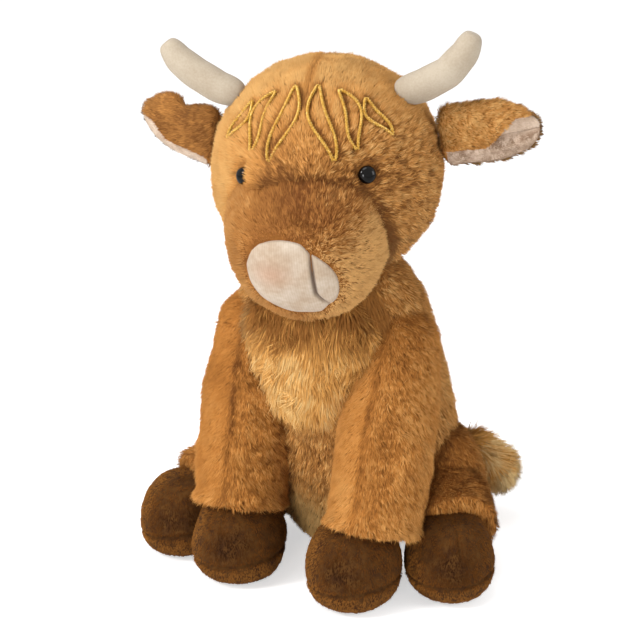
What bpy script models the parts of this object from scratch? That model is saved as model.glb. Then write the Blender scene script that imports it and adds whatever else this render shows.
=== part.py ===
"""A seated plush cow, built as the sewn toy is: stuffed skins, seams, pellets and set-in pieces.

The toy sits on its seat panel at the origin and faces -Y; its own left is +X, up is +Z.
Every size is in metres, every angle in degrees. "Forward" is towards -Y.
"""
import math

import bmesh
import bpy
from mathutils import Matrix, Vector

# Cloth and clearances
SKIN = 0.003             # fur cloth with its backing
THIN_CLOTH = 0.0012      # nose and ear lining cloth
SEAM_GAP = 0.0004        # between two sewn pieces
SWING_GAP = 0.0010       # between a moving root and its socket
FILL_GAP = 0.0009        # between a skin and its filling
TURN_GAP = 0.0020        # between the torso and what sweeps past it
NECK_GAP = 0.0006        # between the head and the torso's neck, on which it turns
OVERRUN = 0.02           # how far a cutter passes what it cuts
MERGE = 0.00001          # points of a turned profile closer than this are one

# Torso
BODY_HEIGHT = 0.207
BODY_HALF_WIDTH = 0.060
BODY_HALF_DEPTH = 0.055
BODY_LEAN = 0.036        # how far forward of the seat the neck stands
NECK_RADIUS = 0.026
SEAT_THICKNESS = 0.003
SEAT_HALF_WIDTH = 0.0255
SEAT_HALF_DEPTH = 0.0205
POUCH_HALF_WIDTH = 0.025
POUCH_HALF_DEPTH = 0.021
POUCH_HALF_HEIGHT = 0.013
RUFF_HALF_WIDTH = 0.045
RUFF_HALF_HEIGHT = 0.047
RUFF_HALF_DEPTH = 0.020
RUFF_HEIGHT = 0.132      # of its centre
RUFF_FORWARD = 0.060

# Head, in its own frame: centre on the neck's turning line
HEAD_RADIUS = 0.0643
HEAD_HALF_HEIGHT = 0.0629
NECK_SINK = 0.0229        # how deep the head sits in the torso's neck
HEAD_AHEAD = 0.004        # of the neck's middle
HEAD_HEIGHT = BODY_HEIGHT + HEAD_HALF_HEIGHT - NECK_SINK
HEAD_FORWARD = BODY_LEAN + HEAD_AHEAD
HEAD_TURN = 11.80        # the head looks a little to the toy's left
HEAD_TILT = 3.5          # and is tipped, left side up
MUZZLE_TURNS = (-15, 0, 15)  # where the turning muzzle has pressed the chest in
MUZZLE_HALF_WIDTH = 0.0435
MUZZLE_HALF_HEIGHT = 0.0440
MUZZLE_HALF_LENGTH = 0.042
MUZZLE_FORWARD = 0.040
MUZZLE_DROP = 0.0295
MUZZLE_PITCH = 30.0
MUZZLE_ASIDE = 0.004     # its stuffing has set a little to the toy's right
NOSE_HALF_WIDTH = 0.0245
NOSE_HALF_HEIGHT = 0.0215
NOSE_DROP = 0.044
NOSE_ASIDE = 0.0055      # as its seam has
EYE_RADIUS = 0.005
EYE_HEIGHT = 0.0042
EYE_POST_RADIUS = 0.0016
EYE_POST_LENGTH = 0.010
EYE_ACROSS = 31.75       # degrees either side of straight ahead
EYE_RAISE = 7.5
WASHER_RADIUS = 0.006
WASHER_THICKNESS = 0.0015
HORN_RADIUS = 0.0090
HORN_OUT = 0.0880         # tip, from the head's centre line
HORN_RISE = 0.0752
HORN_FORWARD = 0.006
CURL_THREAD = 0.0009
CURL_RISE = 0.0014       # thread centre above the head cloth

# Ears
EAR_LENGTH = 0.056
EAR_HALF_WIDTH = 0.0180
EAR_HALF_THICKNESS = 0.0075
EAR_RAISE = 0.0165       # root centre above the head's centre
EAR_BACK = 0.004
EAR_LIFT_LEFT = 4.0      # how far each ear points upwards
EAR_LIFT_RIGHT = 15.0
EAR_SWEEP_LEFT = 0.0     # how far back each ear lies
EAR_SWEEP_RIGHT = 24.0
EAR_ROOT_RADIUS = 0.0055
EAR_ROOT_LENGTH = 0.024
EAR_LINING_HALF_WIDTH = 0.0125
EAR_LINING_LENGTH = 0.041

# Front legs
SHOULDER_OUT = 0.0442
SHOULDER_FORWARD = 0.039
SHOULDER_HEIGHT = 0.1465
SHOULDER_RADIUS = 0.023
SHOULDER_ROOM_RADIUS = 0.036       # the hollow that a swinging leg has pressed in the filling
SHOULDER_ROOM_HALF_HEIGHT = 0.046
SHOULDER_ROOM_FORWARD = 0.014
FRONT_CUFF_OUT = 0.0420
FRONT_CUFF_FORWARD = 0.072
FRONT_CUFF_HEIGHT = 0.046
FRONT_LEG_RADIUS = 0.028
LEFT_FRONT_STEP = 0.002  # how far each foot stands forward of its even place
RIGHT_FRONT_STEP = -0.004
FRONT_HOOF_OUT = 0.0385
FRONT_HOOF_FORWARD = 0.082
HOOF_HALF_WIDTH = 0.0288
HOOF_HALF_LENGTH = 0.0300
HOOF_HALF_HEIGHT = 0.0245
HOOF_SHIFT = 0.003       # all feet stand a little to the toy's right of their legs

LEG_TURNS = (0, 16, 32, 48)  # where a swinging front leg presses the chest and the ruff aside

# Hind legs
HIP_OUT = 0.057
HIP_FORWARD = 0.002
HIP_HEIGHT = 0.047
HIP_RADIUS = 0.028
HIP_HALF_HEIGHT = 0.040
HIND_LEG_RADIUS = 0.0265
HIND_CUFF_OUT = 0.0815
HIND_CUFF_FORWARD = 0.040
HIND_CUFF_HEIGHT = 0.035
HIND_HOOF_OUT = 0.0870
HIND_HOOF_FORWARD = 0.054
LEFT_HIND_STEP = -0.003
RIGHT_HIND_STEP = 0.005

# Tail
TAIL_ROOT_BACK = 0.054
TAIL_HEIGHT = 0.046
TAIL_RADIUS = 0.0085
TAIL_REACH = 0.058       # sideways, to where the tuft starts
TAIL_SWEEP = 0.020       # backwards, at the bend
TUFT_RADIUS = 0.0145
TUFT_LENGTH = 0.044

# Outline tables, as shares of the sizes above
# height, lean, half width, half depth of the torso, from the seat up
BODY_SHARES = (
    (0.000, 0.00, 1.00, 0.86), (0.060, -0.07, 1.00, 0.86), (0.130, -0.12, 1.00, 0.88),
    (0.290, 0.00, 1.11, 1.00), (0.400, 0.19, 1.12, 1.00), (0.483, 0.31, 1.09, 0.96),
    (0.676, 0.64, 1.03, 0.85), (0.830, 0.86, 1.02, 0.80), (0.932, 0.97, 0.92, 0.76),
    (1.000, 1.00, 0.70, 0.60),
)
# height and radius of the head, from the chin up
HEAD_SHARES = ((0.0, 0.94), (0.25, 1.005), (0.5, 1.0), (0.8, 1.01), (1.0, 1.0))
# way along and radius of a front and a hind leg, from the root to the cuff
FRONT_LEG_SHARES = ((0.0, 0.84), (0.35, 1.03), (0.7, 1.05), (1.0, 0.98))
HIND_LEG_SHARES = ((0.0, 0.98), (0.5, 1.0), (1.0, 0.95))
# way out, rise, forward and radius of a horn, from inside the head to the tip
HORN_SHARES = (
    (0.50, 0.575, 1.5, 1.22), (0.67, 0.635, 1.4, 1.08), (0.825, 0.72, 1.2, 1.00),
    (0.935, 0.855, 1.1, 0.97), (1.00, 1.00, 1.0, 0.92),
)
# way along, half width and thickness of an ear, from the seam to the tip
EAR_SHARES = ((0.0, 0.92, 0.74), (0.3, 1.0, 1.0), (0.6, 0.97, 0.95), (0.85, 0.74, 0.80), (1.0, 0.45, 0.6))
# sideways, backwards, upwards and radius of the tail, from its root
TAIL_SHARES = (
    (0.00, 0.0, 0.00, 1.00), (0.22, 0.70, 0.20, 0.95), (0.58, 0.90, 0.30, 0.90), (1.00, 0.50, 0.05, 0.85),
)
# outline of the nose cloth, across and up
NOSE_SHARES = (
    (-0.78, 0.72), (-0.40, 0.95), (0.40, 0.95), (0.78, 0.72), (1.0, 0.05), (0.72, -0.72),
    (0.30, -0.95), (-0.30, -0.95), (-0.72, -0.72), (-1.0, 0.05),
)
MOUTH_SHARE = 0.6        # of the pouch, open to the seat below it
RUFF_NARROW_SHARE = 0.35  # of the ruff's width, at its lower end
RUFF_LEAN_SHARE = 0.5    # of the torso's lean
CUFF_SHARE = 0.9         # of a leg's radius, at its flat end
HIP_BALL_SHARE = 0.98    # of a hind leg's radius
HOOF_SLIM_SHARE = 0.12   # by which a hoof narrows towards its top
HOOF_BACK_SHARE = 0.16   # of a hoof's length, by which its top lies back
LINING_START_SHARE = 0.16  # of the ear's length
LINING_DEPTH_SHARE = 0.75  # of the ear's thickness
EAR_SEAT_SHARE = 0.5     # of the root's radius, by which it stands out of the head
TUFT_SHARES = (0.75, 1.25)  # of the tuft's radius, at its root and its end
TUFT_WAY = (0.80, -0.12, -0.58)  # the direction in which the tuft hangs
# forehead locks, in degrees: root across and up, tip across and up, bow, half width
LOCK_ANGLES = (
    (9.5, 56.0, 13.5, 16.0, 3.0, 4.6), (26.0, 52.0, 31.0, 21.0, -3.0, 4.4),
    (42.0, 45.0, 47.0, 24.0, 2.5, 3.6),
)

SIDES = (("left", 1.0), ("right", -1.0))

MANY_CUTS = ("body_skin", "body_filling", "head_skin", "chest_ruff")

# Segments and rings of the forms
BIG = (22, 14)
HOLLOW = (18, 12)
MIDDLE = (16, 12)
SMALL = (12, 10)


def clear_scene():
    """Start from an empty file without closing it."""
    for old in list(bpy.data.objects):
        bpy.data.objects.remove(old, do_unlink=True)


def make_collection(name):
    """Add a collection to the scene."""
    collection = bpy.data.collections.new(name)
    bpy.context.scene.collection.children.link(collection)
    return collection


def make_material(name, colour, roughness, metallic=0.0):
    """A Principled material with the piece's own colour."""
    material = bpy.data.materials.new(name)
    material.use_nodes = True
    shader = material.node_tree.nodes["Principled BSDF"]
    shader.inputs["Base Color"].default_value = (*colour, 1.0)
    shader.inputs["Roughness"].default_value = roughness
    shader.inputs["Metallic"].default_value = metallic
    return material


def make_materials():
    """One material for each cloth, thread and filling of the toy."""
    return {
        "fur": make_material("caramel_fur_cloth", (0.47, 0.21, 0.06), 0.95),
        "muzzle": make_material("brown_fur_cloth", (0.33, 0.13, 0.035), 0.95),
        "ruff": make_material("long_pile_cloth", (0.46, 0.24, 0.08), 0.95),
        "hoof": make_material("dark_velour", (0.085, 0.036, 0.012), 0.9),
        "nose": make_material("pale_knit", (0.68, 0.53, 0.41), 0.9),
        "lining": make_material("ear_lining_cloth", (0.56, 0.40, 0.30), 0.9),
        "horn": make_material("cream_suede", (0.73, 0.62, 0.48), 0.85),
        "eye": make_material("black_eye_plastic", (0.004, 0.004, 0.004), 0.08),
        "washer": make_material("white_washer_plastic", (0.75, 0.75, 0.73), 0.5),
        "thread": make_material("gold_thread", (0.42, 0.26, 0.05), 0.45, 0.3),
        "filling": make_material("white_fibre_filling", (0.86, 0.86, 0.84), 1.0),
        "pellets": make_material("pellet_pouch_cloth", (0.62, 0.58, 0.50), 0.9),
        "base": make_material("seat_cloth", (0.30, 0.12, 0.035), 0.95),
    }


def read_shares(table, share):
    """Read a share table between its rows, straight from one row to the next."""
    for low, high in zip(table, table[1:]):
        if share <= high[0]:
            part = (share - low[0]) / (high[0] - low[0])
            return [a + (b - a) * part for a, b in zip(low[1:], high[1:])]
    return list(table[-1][1:])


def object_from_bmesh(name, shape, collection, parent=None):
    """Put a closed bmesh into an object; its points stay in the parent's frame."""
    if shape.calc_volume(signed=True) < 0:
        bmesh.ops.reverse_faces(shape, faces=shape.faces)
    shape.normal_update()
    mesh = bpy.data.meshes.new(name)
    shape.to_mesh(mesh)
    shape.free()
    mesh.shade_smooth()
    item = bpy.data.objects.new(name, mesh)
    collection.objects.link(item)
    item.parent = parent
    return item


def hide_cutter(item):
    """Mark an object as a cutter."""
    item.hide_render = True
    item.display_type = "WIRE"
    return item


def stuffed_form(name, ring_at, counts, collection, parent=None):
    """A unit sphere whose rings are carried along a spine.

    ring_at takes the share of the way from the first pole to the last (0 to 1) and returns the
    ring's centre, its sideways and its front half size as vectors."""
    shape = bmesh.new()
    bmesh.ops.create_uvsphere(shape, u_segments=counts[0], v_segments=counts[1], radius=1.0)
    for vert in shape.verts:
        turn = math.acos(max(-1.0, min(1.0, -vert.co.z))) / math.pi
        reach = math.hypot(vert.co.x, vert.co.y)
        centre, sideways, front = ring_at(turn)
        if reach < 1e-6:
            vert.co = centre
        else:
            vert.co = centre + sideways * (vert.co.x / reach) + front * (vert.co.y / reach)
    return object_from_bmesh(name, shape, collection, parent)


def closing(turn, fullness):
    """How far a form's ring has opened at a share of the turn from pole to pole."""
    return max(0.0, math.sin(turn * math.pi)) ** fullness


def way(turn):
    """The share of a form's length at a share of the turn from pole to pole."""
    return (1.0 - math.cos(turn * math.pi)) / 2.0


def grown_copy(item, name, gap, collection):
    """A cutter: the same form with every point moved outward by a gap."""
    mesh = item.data.copy()
    normals = [vert.normal.copy() for vert in mesh.vertices]
    for vert, normal in zip(mesh.vertices, normals):
        vert.co += normal * gap
    copy = bpy.data.objects.new(name, mesh)
    collection.objects.link(copy)
    copy.parent = item.parent
    copy.matrix_parent_inverse = item.matrix_parent_inverse
    copy.location = item.location
    copy.rotation_euler = item.rotation_euler
    return hide_cutter(copy)


def boolean(item, other, operation="DIFFERENCE"):
    """Cut, join or trim an object by another one.

    The pieces with many nearly parallel cuts use the other solver, because the exact one fails on them."""
    modifier = item.modifiers.new(operation.lower(), "BOOLEAN")
    modifier.operation = operation
    modifier.object = other
    modifier.solver = "MANIFOLD" if item.name in MANY_CUTS else "EXACT"


def ball(name, centre, radius, half_height, collection, parent=None, counts=MIDDLE, half_depth=None):
    """A sphere, or a spheroid where its half height or half depth differs."""
    shape = bmesh.new()
    bmesh.ops.create_uvsphere(shape, u_segments=counts[0], v_segments=counts[1], radius=1.0)
    size = Matrix.Diagonal((radius, half_depth or radius, half_height, 1.0))
    bmesh.ops.transform(shape, matrix=Matrix.Translation(centre) @ size, verts=shape.verts)
    return object_from_bmesh(name, shape, collection, parent)


def drum(name, centre, radii, height, collection, parent=None, segments=32):
    """An upright round or oval block, standing on its centre point."""
    shape = bmesh.new()
    bmesh.ops.create_cone(shape, cap_ends=True, segments=segments, radius1=1.0, radius2=1.0, depth=1.0)
    size = Matrix.Diagonal((radii[0], radii[1], height, 1.0))
    lift = Matrix.Translation(Vector(centre) + Vector((0, 0, height / 2)))
    bmesh.ops.transform(shape, matrix=lift @ size, verts=shape.verts)
    return object_from_bmesh(name, shape, collection, parent)


def joint_empty(name, place, collection, parent=None, turn=None):
    """An empty on a joint's axis, which carries everything that moves with it."""
    empty = bpy.data.objects.new(name, None)
    collection.objects.link(empty)
    empty.parent = parent
    empty.location = place
    if turn is not None:
        empty.rotation_euler = turn
    return empty


def finish(item, material):
    """Give a piece its material."""
    item.data.materials.clear()
    item.data.materials.append(material)
    return item


# Torso

def body_ring(turn, inset=0.0):
    """Ring of the torso's outline, or of one that lies inset within it."""
    share = way(turn)
    lean, width, depth = read_shares(BODY_SHARES, share)
    opened = closing(turn, 0.6 if share < 0.5 else 0.38)
    height = inset + share * (BODY_HEIGHT - 2 * inset)
    centre = Vector((0, -lean * BODY_LEAN, height))
    sideways = Vector((BODY_HALF_WIDTH * width * opened - inset * opened, 0, 0))
    front = Vector((0, BODY_HALF_DEPTH * depth * opened - inset * opened, 0))
    return centre, sideways, front


def build_torso(parts, cutters, cloth):
    """The torso's skin, filling, pellet pouch and seat; returns them by name."""
    outer = stuffed_form("body_skin", body_ring, BIG, parts)
    inner = stuffed_form("skin_hollow", lambda turn: body_ring(turn, SKIN), HOLLOW, cutters)
    hide_cutter(inner)
    seat_top = SEAT_THICKNESS + SEAM_GAP
    floor_cut = hide_cutter(drum(
        "floor_cut", (0, 0, seat_top - OVERRUN), (BODY_HALF_WIDTH + OVERRUN,) * 2, OVERRUN, cutters))
    seat_hole = hide_cutter(drum(
        "seat_hole", (0, 0, -OVERRUN), (SEAT_HALF_WIDTH - SKIN, SEAT_HALF_DEPTH - SKIN),
        OVERRUN + seat_top + 2 * SKIN, cutters))
    neck_hole = hide_cutter(drum(
        "neck_hole", (0, -BODY_LEAN, BODY_HEIGHT - OVERRUN), (NECK_RADIUS,) * 2, 2 * OVERRUN, cutters))
    for cutter in (floor_cut, inner, seat_hole, neck_hole):
        boolean(outer, cutter)

    filling = stuffed_form("body_filling", lambda turn: body_ring(turn, SKIN + FILL_GAP), HOLLOW, parts)
    pouch_height = seat_top + POUCH_HALF_HEIGHT
    pouch = ball(
        "pellet_pouch", (0, 0, pouch_height), POUCH_HALF_WIDTH, POUCH_HALF_HEIGHT, parts,
        half_depth=POUCH_HALF_DEPTH)
    pouch_room = grown_copy(pouch, "pouch_room", SEAM_GAP, cutters)
    boolean(filling, pouch_room)
    pouch_mouth = hide_cutter(drum(
        "pouch_mouth", (0, 0, 0), (POUCH_HALF_WIDTH * MOUTH_SHARE, POUCH_HALF_DEPTH * MOUTH_SHARE),
        pouch_height, cutters))
    boolean(filling, pouch_mouth)

    seat = drum("seat_panel", (0, 0, 0), (SEAT_HALF_WIDTH, SEAT_HALF_DEPTH), SEAT_THICKNESS, parts)
    finish(outer, cloth["fur"])
    finish(filling, cloth["filling"])
    finish(pouch, cloth["pellets"])
    finish(seat, cloth["base"])
    return {"skin": outer, "filling": filling, "pouch": pouch, "seat": seat}


def build_ruff(parts, cutters, cloth):
    """The long-pile bib on the chest."""
    def ring(turn):
        share = way(turn)
        opened = closing(turn, 0.6)
        narrow = RUFF_NARROW_SHARE + (1 - RUFF_NARROW_SHARE) * share
        height = RUFF_HEIGHT + (2 * share - 1) * RUFF_HALF_HEIGHT
        lean = RUFF_FORWARD + (share - 0.5) * BODY_LEAN * RUFF_LEAN_SHARE
        return (Vector((0, -lean, height)), Vector((RUFF_HALF_WIDTH * narrow * opened, 0, 0)),
                Vector((0, RUFF_HALF_DEPTH * opened, 0)))
    ruff = stuffed_form("chest_ruff", ring, MIDDLE, parts)
    return finish(ruff, cloth["ruff"])


# Head

def head_ring(turn, inset=0.0):
    """Ring of the head's outline in the head's frame."""
    share = way(turn)
    (radius,) = read_shares(HEAD_SHARES, share)
    opened = closing(turn, 0.98)
    reach = (HEAD_RADIUS - inset) * radius * opened
    height = (HEAD_HALF_HEIGHT - inset) * (2 * share - 1)
    return Vector((0, 0, height)), Vector((reach, 0, 0)), Vector((0, reach, 0))


def head_surface(across, raised, above=0.0):
    """A point above the head's cloth, from angles across and up, and the way out from there."""
    turn = 0.5 + raised / 180.0
    centre, sideways, _front = head_ring(turn)
    reach = sideways.length
    angle = math.radians(across)
    place = centre + Vector((math.sin(angle) * reach, -math.cos(angle) * reach, 0))
    out = Vector((place.x / HEAD_RADIUS, place.y / HEAD_RADIUS, place.z / HEAD_HALF_HEIGHT)).normalized()
    return place + out * above, out


def build_head(parts, cutters, cloth, neck):
    """The head's skin and filling, open at the neck."""
    skin = stuffed_form("head_skin", head_ring, BIG, parts, neck)
    hollow = hide_cutter(stuffed_form(
        "head_hollow", lambda turn: head_ring(turn, SKIN), HOLLOW, cutters, neck))
    neck_cut = hide_cutter(drum(
        "head_neck_cut", (0, 0, -HEAD_HALF_HEIGHT - OVERRUN), (NECK_RADIUS,) * 2, 2 * OVERRUN, cutters,
        neck))
    boolean(skin, hollow)
    boolean(skin, neck_cut)
    filling = stuffed_form(
        "head_filling", lambda turn: head_ring(turn, SKIN + FILL_GAP), HOLLOW, parts, neck)
    finish(skin, cloth["fur"])
    finish(filling, cloth["filling"])
    return {"skin": skin, "filling": filling}


def muzzle_ring(turn):
    """Ring of the muzzle along its drooping line, blunt at the nose end."""
    share = way(turn)
    pitch = math.radians(MUZZLE_PITCH)
    along = Vector((0, -math.cos(pitch), -math.sin(pitch)))
    upward = Vector((0, -math.sin(pitch), math.cos(pitch)))
    middle = Vector((-MUZZLE_ASIDE, -MUZZLE_FORWARD, -MUZZLE_DROP))
    opened = closing(turn, 0.9 if share < 0.5 else 0.8)
    return (middle + along * MUZZLE_HALF_LENGTH * (2 * share - 1),
            Vector((MUZZLE_HALF_WIDTH * opened, 0, 0)), upward * MUZZLE_HALF_HEIGHT * opened)


def build_muzzle(parts, cutters, cloth, neck):
    """The stuffed muzzle on the head's front, and the nose cloth on it."""
    muzzle = stuffed_form("muzzle", muzzle_ring, HOLLOW, parts, neck)
    nose = grown_copy(muzzle, "nose_patch", SEAM_GAP + THIN_CLOTH, parts)
    nose.hide_render = False
    nose.display_type = "TEXTURED"
    under_nose = grown_copy(muzzle, "under_nose", SEAM_GAP, cutters)
    boolean(nose, under_nose)
    shape = bmesh.new()
    corners = [shape.verts.new((x * NOSE_HALF_WIDTH - NOSE_ASIDE, 0, z * NOSE_HALF_HEIGHT - NOSE_DROP))
               for x, z in NOSE_SHARES]
    face = shape.faces.new(corners)
    reach = MUZZLE_FORWARD + MUZZLE_HALF_LENGTH + OVERRUN
    for vert in shape.verts:
        vert.co.y = -MUZZLE_FORWARD
    pushed = bmesh.ops.extrude_face_region(shape, geom=[face])
    moved = [piece for piece in pushed["geom"] if isinstance(piece, bmesh.types.BMVert)]
    bmesh.ops.translate(shape, vec=(0, MUZZLE_FORWARD - reach, 0), verts=moved)
    outline = hide_cutter(object_from_bmesh("nose_outline", shape, cutters, neck))
    boolean(nose, outline, "INTERSECT")
    finish(muzzle, cloth["muzzle"])
    finish(nose, cloth["nose"])
    return muzzle, nose


def turned(name, profile, collection, parent, steps=16, ring=False):
    """A profile of radius and height, top to bottom on its outer side, turned about Z."""
    mesh = bpy.data.meshes.new(name)
    points = [(radius, 0, height) for radius, height in profile]
    lines = [(k, k + 1) for k in range(len(points) - 1)]
    if ring:
        lines.append((len(points) - 1, 0))
    mesh.from_pydata(points, lines, [])
    item = bpy.data.objects.new(name, mesh)
    collection.objects.link(item)
    item.parent = parent
    screw = item.modifiers.new("turn", "SCREW")
    screw.steps = steps
    screw.render_steps = steps
    screw.use_merge_vertices = True
    screw.merge_threshold = MERGE
    screw.use_smooth_shade = True
    return item


def point_out(item, place, out):
    """Stand a turned piece on a point with its Z along a direction."""
    item.location = place
    item.rotation_euler = out.to_track_quat("Z", "Y").to_euler()


def build_eyes(parts, cutters, cloth, neck, head):
    """Safety eyes: a dome with a post through the cloth, and a washer inside."""
    seat = SEAM_GAP
    steps = 5
    dome = []
    for k in range(steps + 1):
        angle = math.pi / 2 * (1 - k / steps)
        dome.append((EYE_RADIUS * math.cos(angle), seat + EYE_HEIGHT * math.sin(angle)))
    dome[0] = (0.0, seat + EYE_HEIGHT)
    dome += [(EYE_POST_RADIUS, seat), (EYE_POST_RADIUS, seat - EYE_POST_LENGTH),
             (0.0, seat - EYE_POST_LENGTH)]
    washer_top = -SKIN - SEAM_GAP
    inner = EYE_POST_RADIUS + SEAM_GAP
    ring = [(inner, washer_top), (WASHER_RADIUS, washer_top), (WASHER_RADIUS, washer_top - WASHER_THICKNESS),
            (inner, washer_top - WASHER_THICKNESS)]
    hole = [(0.0, OVERRUN), (inner, OVERRUN), (inner, -OVERRUN), (0.0, -OVERRUN)]
    room = WASHER_RADIUS + SEAM_GAP
    depth = EYE_POST_LENGTH + SEAM_GAP
    pocket = [(0.0, OVERRUN), (room, OVERRUN), (room, -depth), (0.0, -depth)]
    bed = [(0.0, -SKIN), (room, -SKIN), (room, -OVERRUN), (0.0, -OVERRUN)]
    for side, sign in SIDES:
        place, out = head_surface(sign * EYE_ACROSS, EYE_RAISE)
        eye = turned("eye_" + side, dome, parts, neck)
        washer = turned("eye_washer_" + side, ring, parts, neck, ring=True)
        eye_hole = hide_cutter(turned("eye_hole_" + side, hole, cutters, neck))
        eye_pocket = hide_cutter(turned("eye_pocket_" + side, pocket, cutters, neck))
        washer_bed = hide_cutter(turned("washer_bed_" + side, bed, cutters, neck))
        for item in (eye, washer, eye_hole, eye_pocket, washer_bed):
            point_out(item, place, out)
        boolean(head["skin"], eye_hole)
        boolean(head["skin"], washer_bed)
        boolean(head["filling"], eye_pocket)
        finish(eye, cloth["eye"])
        finish(washer, cloth["washer"])


def build_horns(parts, cutters, cloth, neck, head_room):
    """Stuffed suede horns, out and up from the crown."""
    for side, sign in SIDES:
        def ring(turn, sign=sign):
            share = way(turn)
            pace = share * (len(HORN_SHARES) - 1)
            row = min(int(pace), len(HORN_SHARES) - 2)
            rows = HORN_SHARES[row], HORN_SHARES[row + 1]
            out, rise, front, radius = (a + (b - a) * (pace - row) for a, b in zip(*rows))
            outward = (rows[1][0] - rows[0][0]) * HORN_OUT
            upward = (rows[1][1] - rows[0][1]) * HORN_RISE
            along = Vector((sign * outward, 0, upward)).normalized()
            centre = Vector((sign * out * HORN_OUT, -front * HORN_FORWARD, rise * HORN_RISE))
            opened = closing(turn, 0.45) * radius * HORN_RADIUS
            across = along.cross(Vector((0, 1, 0)))
            return centre, across * opened, Vector((0, opened, 0))
        horn = stuffed_form("horn_" + side, ring, SMALL, parts, neck)
        boolean(horn, head_room)
        finish(horn, cloth["horn"])


def lock_points(start_across, start_up, end_across, end_up, bow, width, sign):
    """Points round one forehead lock: down one side of a bowed leaf, round its tip, up the other."""
    points = []
    side_points = 8
    run = math.hypot(end_across - start_across, end_up - start_up)
    across_unit = (end_up - start_up) / run
    up_unit = -(end_across - start_across) / run
    for edge in (1.0, -1.0):
        for k in range(side_points):
            part = k / (side_points - 1)
            part = part if edge > 0 else 1 - part
            lean = bow * math.sin(1.6 * math.pi * part)
            half = edge * width * (0.16 + math.sin(math.pi * part ** 0.8))
            off = lean + half
            points.append((start_across + (end_across - start_across) * part + across_unit * off,
                           start_up + (end_up - start_up) * part + up_unit * off))
    return [head_surface(sign * across, up, CURL_RISE)[0] for across, up in points]


def build_locks(parts, cloth, neck):
    """Gold thread locks stitched on the forehead, mirrored left and right."""
    number = 0
    for side, sign in SIDES:
        for angles in LOCK_ANGLES:
            number += 1
            curve = bpy.data.curves.new("lock", "CURVE")
            curve.dimensions = "3D"
            curve.bevel_depth = CURL_THREAD
            curve.bevel_resolution = 1
            curve.use_fill_caps = True
            spline = curve.splines.new("POLY")
            points = lock_points(*angles, sign)
            spline.points.add(len(points) - 1)
            for point, place in zip(spline.points, points):
                point.co = (*place, 1.0)
            item = bpy.data.objects.new("forehead_lock_%d" % number, curve)
            parts.objects.link(item)
            item.parent = neck
            curve.materials.append(cloth["thread"])


# Ears

def build_ears(parts, cutters, cloth, neck, head_pieces):
    """Leaf ears on a rounded root in the head's side, each with a lining in its front."""
    root_place, _out = head_surface(90.0, math.degrees(math.asin(EAR_RAISE / HEAD_HALF_HEIGHT)))
    root_out = root_place.x + EAR_ROOT_RADIUS * EAR_SEAT_SHARE
    for side, sign in SIDES:
        place = Vector((sign * root_out, EAR_BACK, EAR_RAISE))
        lift, sweep = EAR_LIFT_LEFT, EAR_SWEEP_LEFT
        if side == "right":
            lift, sweep = EAR_LIFT_RIGHT, EAR_SWEEP_RIGHT
        seam = joint_empty(
            "ear_joint_" + side, place, parts, neck,
            (0, math.radians(-sign * lift), math.radians(sign * sweep)))

        def ring(turn, sign=sign, length=EAR_LENGTH, half=EAR_HALF_WIDTH, thick=EAR_HALF_THICKNESS, off=0.0):
            share = way(turn)
            width, depth = read_shares(EAR_SHARES, share)
            opened = closing(turn, 0.4)
            return (Vector((sign * length * share, off, 0)), Vector((0, 0, half * width * opened)),
                    Vector((0, thick * depth * opened, 0)))
        ear = stuffed_form("ear_" + side, ring, SMALL, parts, seam)
        root_half = EAR_ROOT_LENGTH / 2 + EAR_ROOT_RADIUS
        root = hide_cutter(ball(
            "ear_root_" + side, (0, 0, 0), EAR_ROOT_RADIUS, root_half, cutters, seam, SMALL))
        boolean(ear, root, "UNION")
        socket = hide_cutter(ball(
            "ear_socket_" + side, (0, 0, 0), EAR_ROOT_RADIUS + SWING_GAP, root_half + SWING_GAP, cutters,
            seam, SMALL))
        for piece in head_pieces:
            boolean(piece, socket)

        lining_start = EAR_LENGTH * LINING_START_SHARE

        def lining_ring(turn, sign=sign):
            share = way(turn)
            width, _depth = read_shares(EAR_SHARES, share)
            opened = closing(turn, 0.6)
            return (Vector((sign * (lining_start + EAR_LINING_LENGTH * share), -EAR_HALF_THICKNESS, 0)),
                    Vector((0, 0, EAR_LINING_HALF_WIDTH * width * opened)),
                    Vector((0, EAR_HALF_THICKNESS * LINING_DEPTH_SHARE * opened, 0)))
        lining = stuffed_form("ear_lining_" + side, lining_ring, SMALL, parts, seam)
        hollow = grown_copy(lining, "lining_room_" + side, SEAM_GAP, cutters)
        boolean(ear, hollow)
        front = hide_cutter(drum(
            "lining_front_" + side, (0, -EAR_HALF_THICKNESS - OVERRUN, -EAR_LENGTH),
            (EAR_LENGTH * 2, OVERRUN), EAR_LENGTH * 2, cutters, seam, 64))
        boolean(lining, front)
        finish(ear, cloth["fur"])
        finish(lining, cloth["lining"])


# Legs

def limb_ring(turn, end, root_radius, end_radius, table, reach_radius):
    """Ring of a limb: a ball about its root at the joint, a swelling tube, and a flat cuff."""
    along = end.normalized()
    length = end.length
    sideways = Vector((1, 0, 0))
    sideways = (sideways - along * sideways.dot(along)).normalized()
    front = along.cross(sideways)
    root_turn = 0.3
    cuff_turn = 0.93
    if turn < root_turn:
        angle = turn / root_turn * math.pi / 2
        return (along * -root_radius * math.cos(angle), sideways * root_radius * math.sin(angle),
                front * root_radius * math.sin(angle))
    if turn < cuff_turn:
        share = (turn - root_turn) / (cuff_turn - root_turn)
        (radius,) = read_shares(table, share)
        radius *= reach_radius
        return along * length * share, sideways * radius, front * radius
    share = (1.0 - turn) / (1.0 - cuff_turn)
    return end, sideways * end_radius * share, front * end_radius * share


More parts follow.
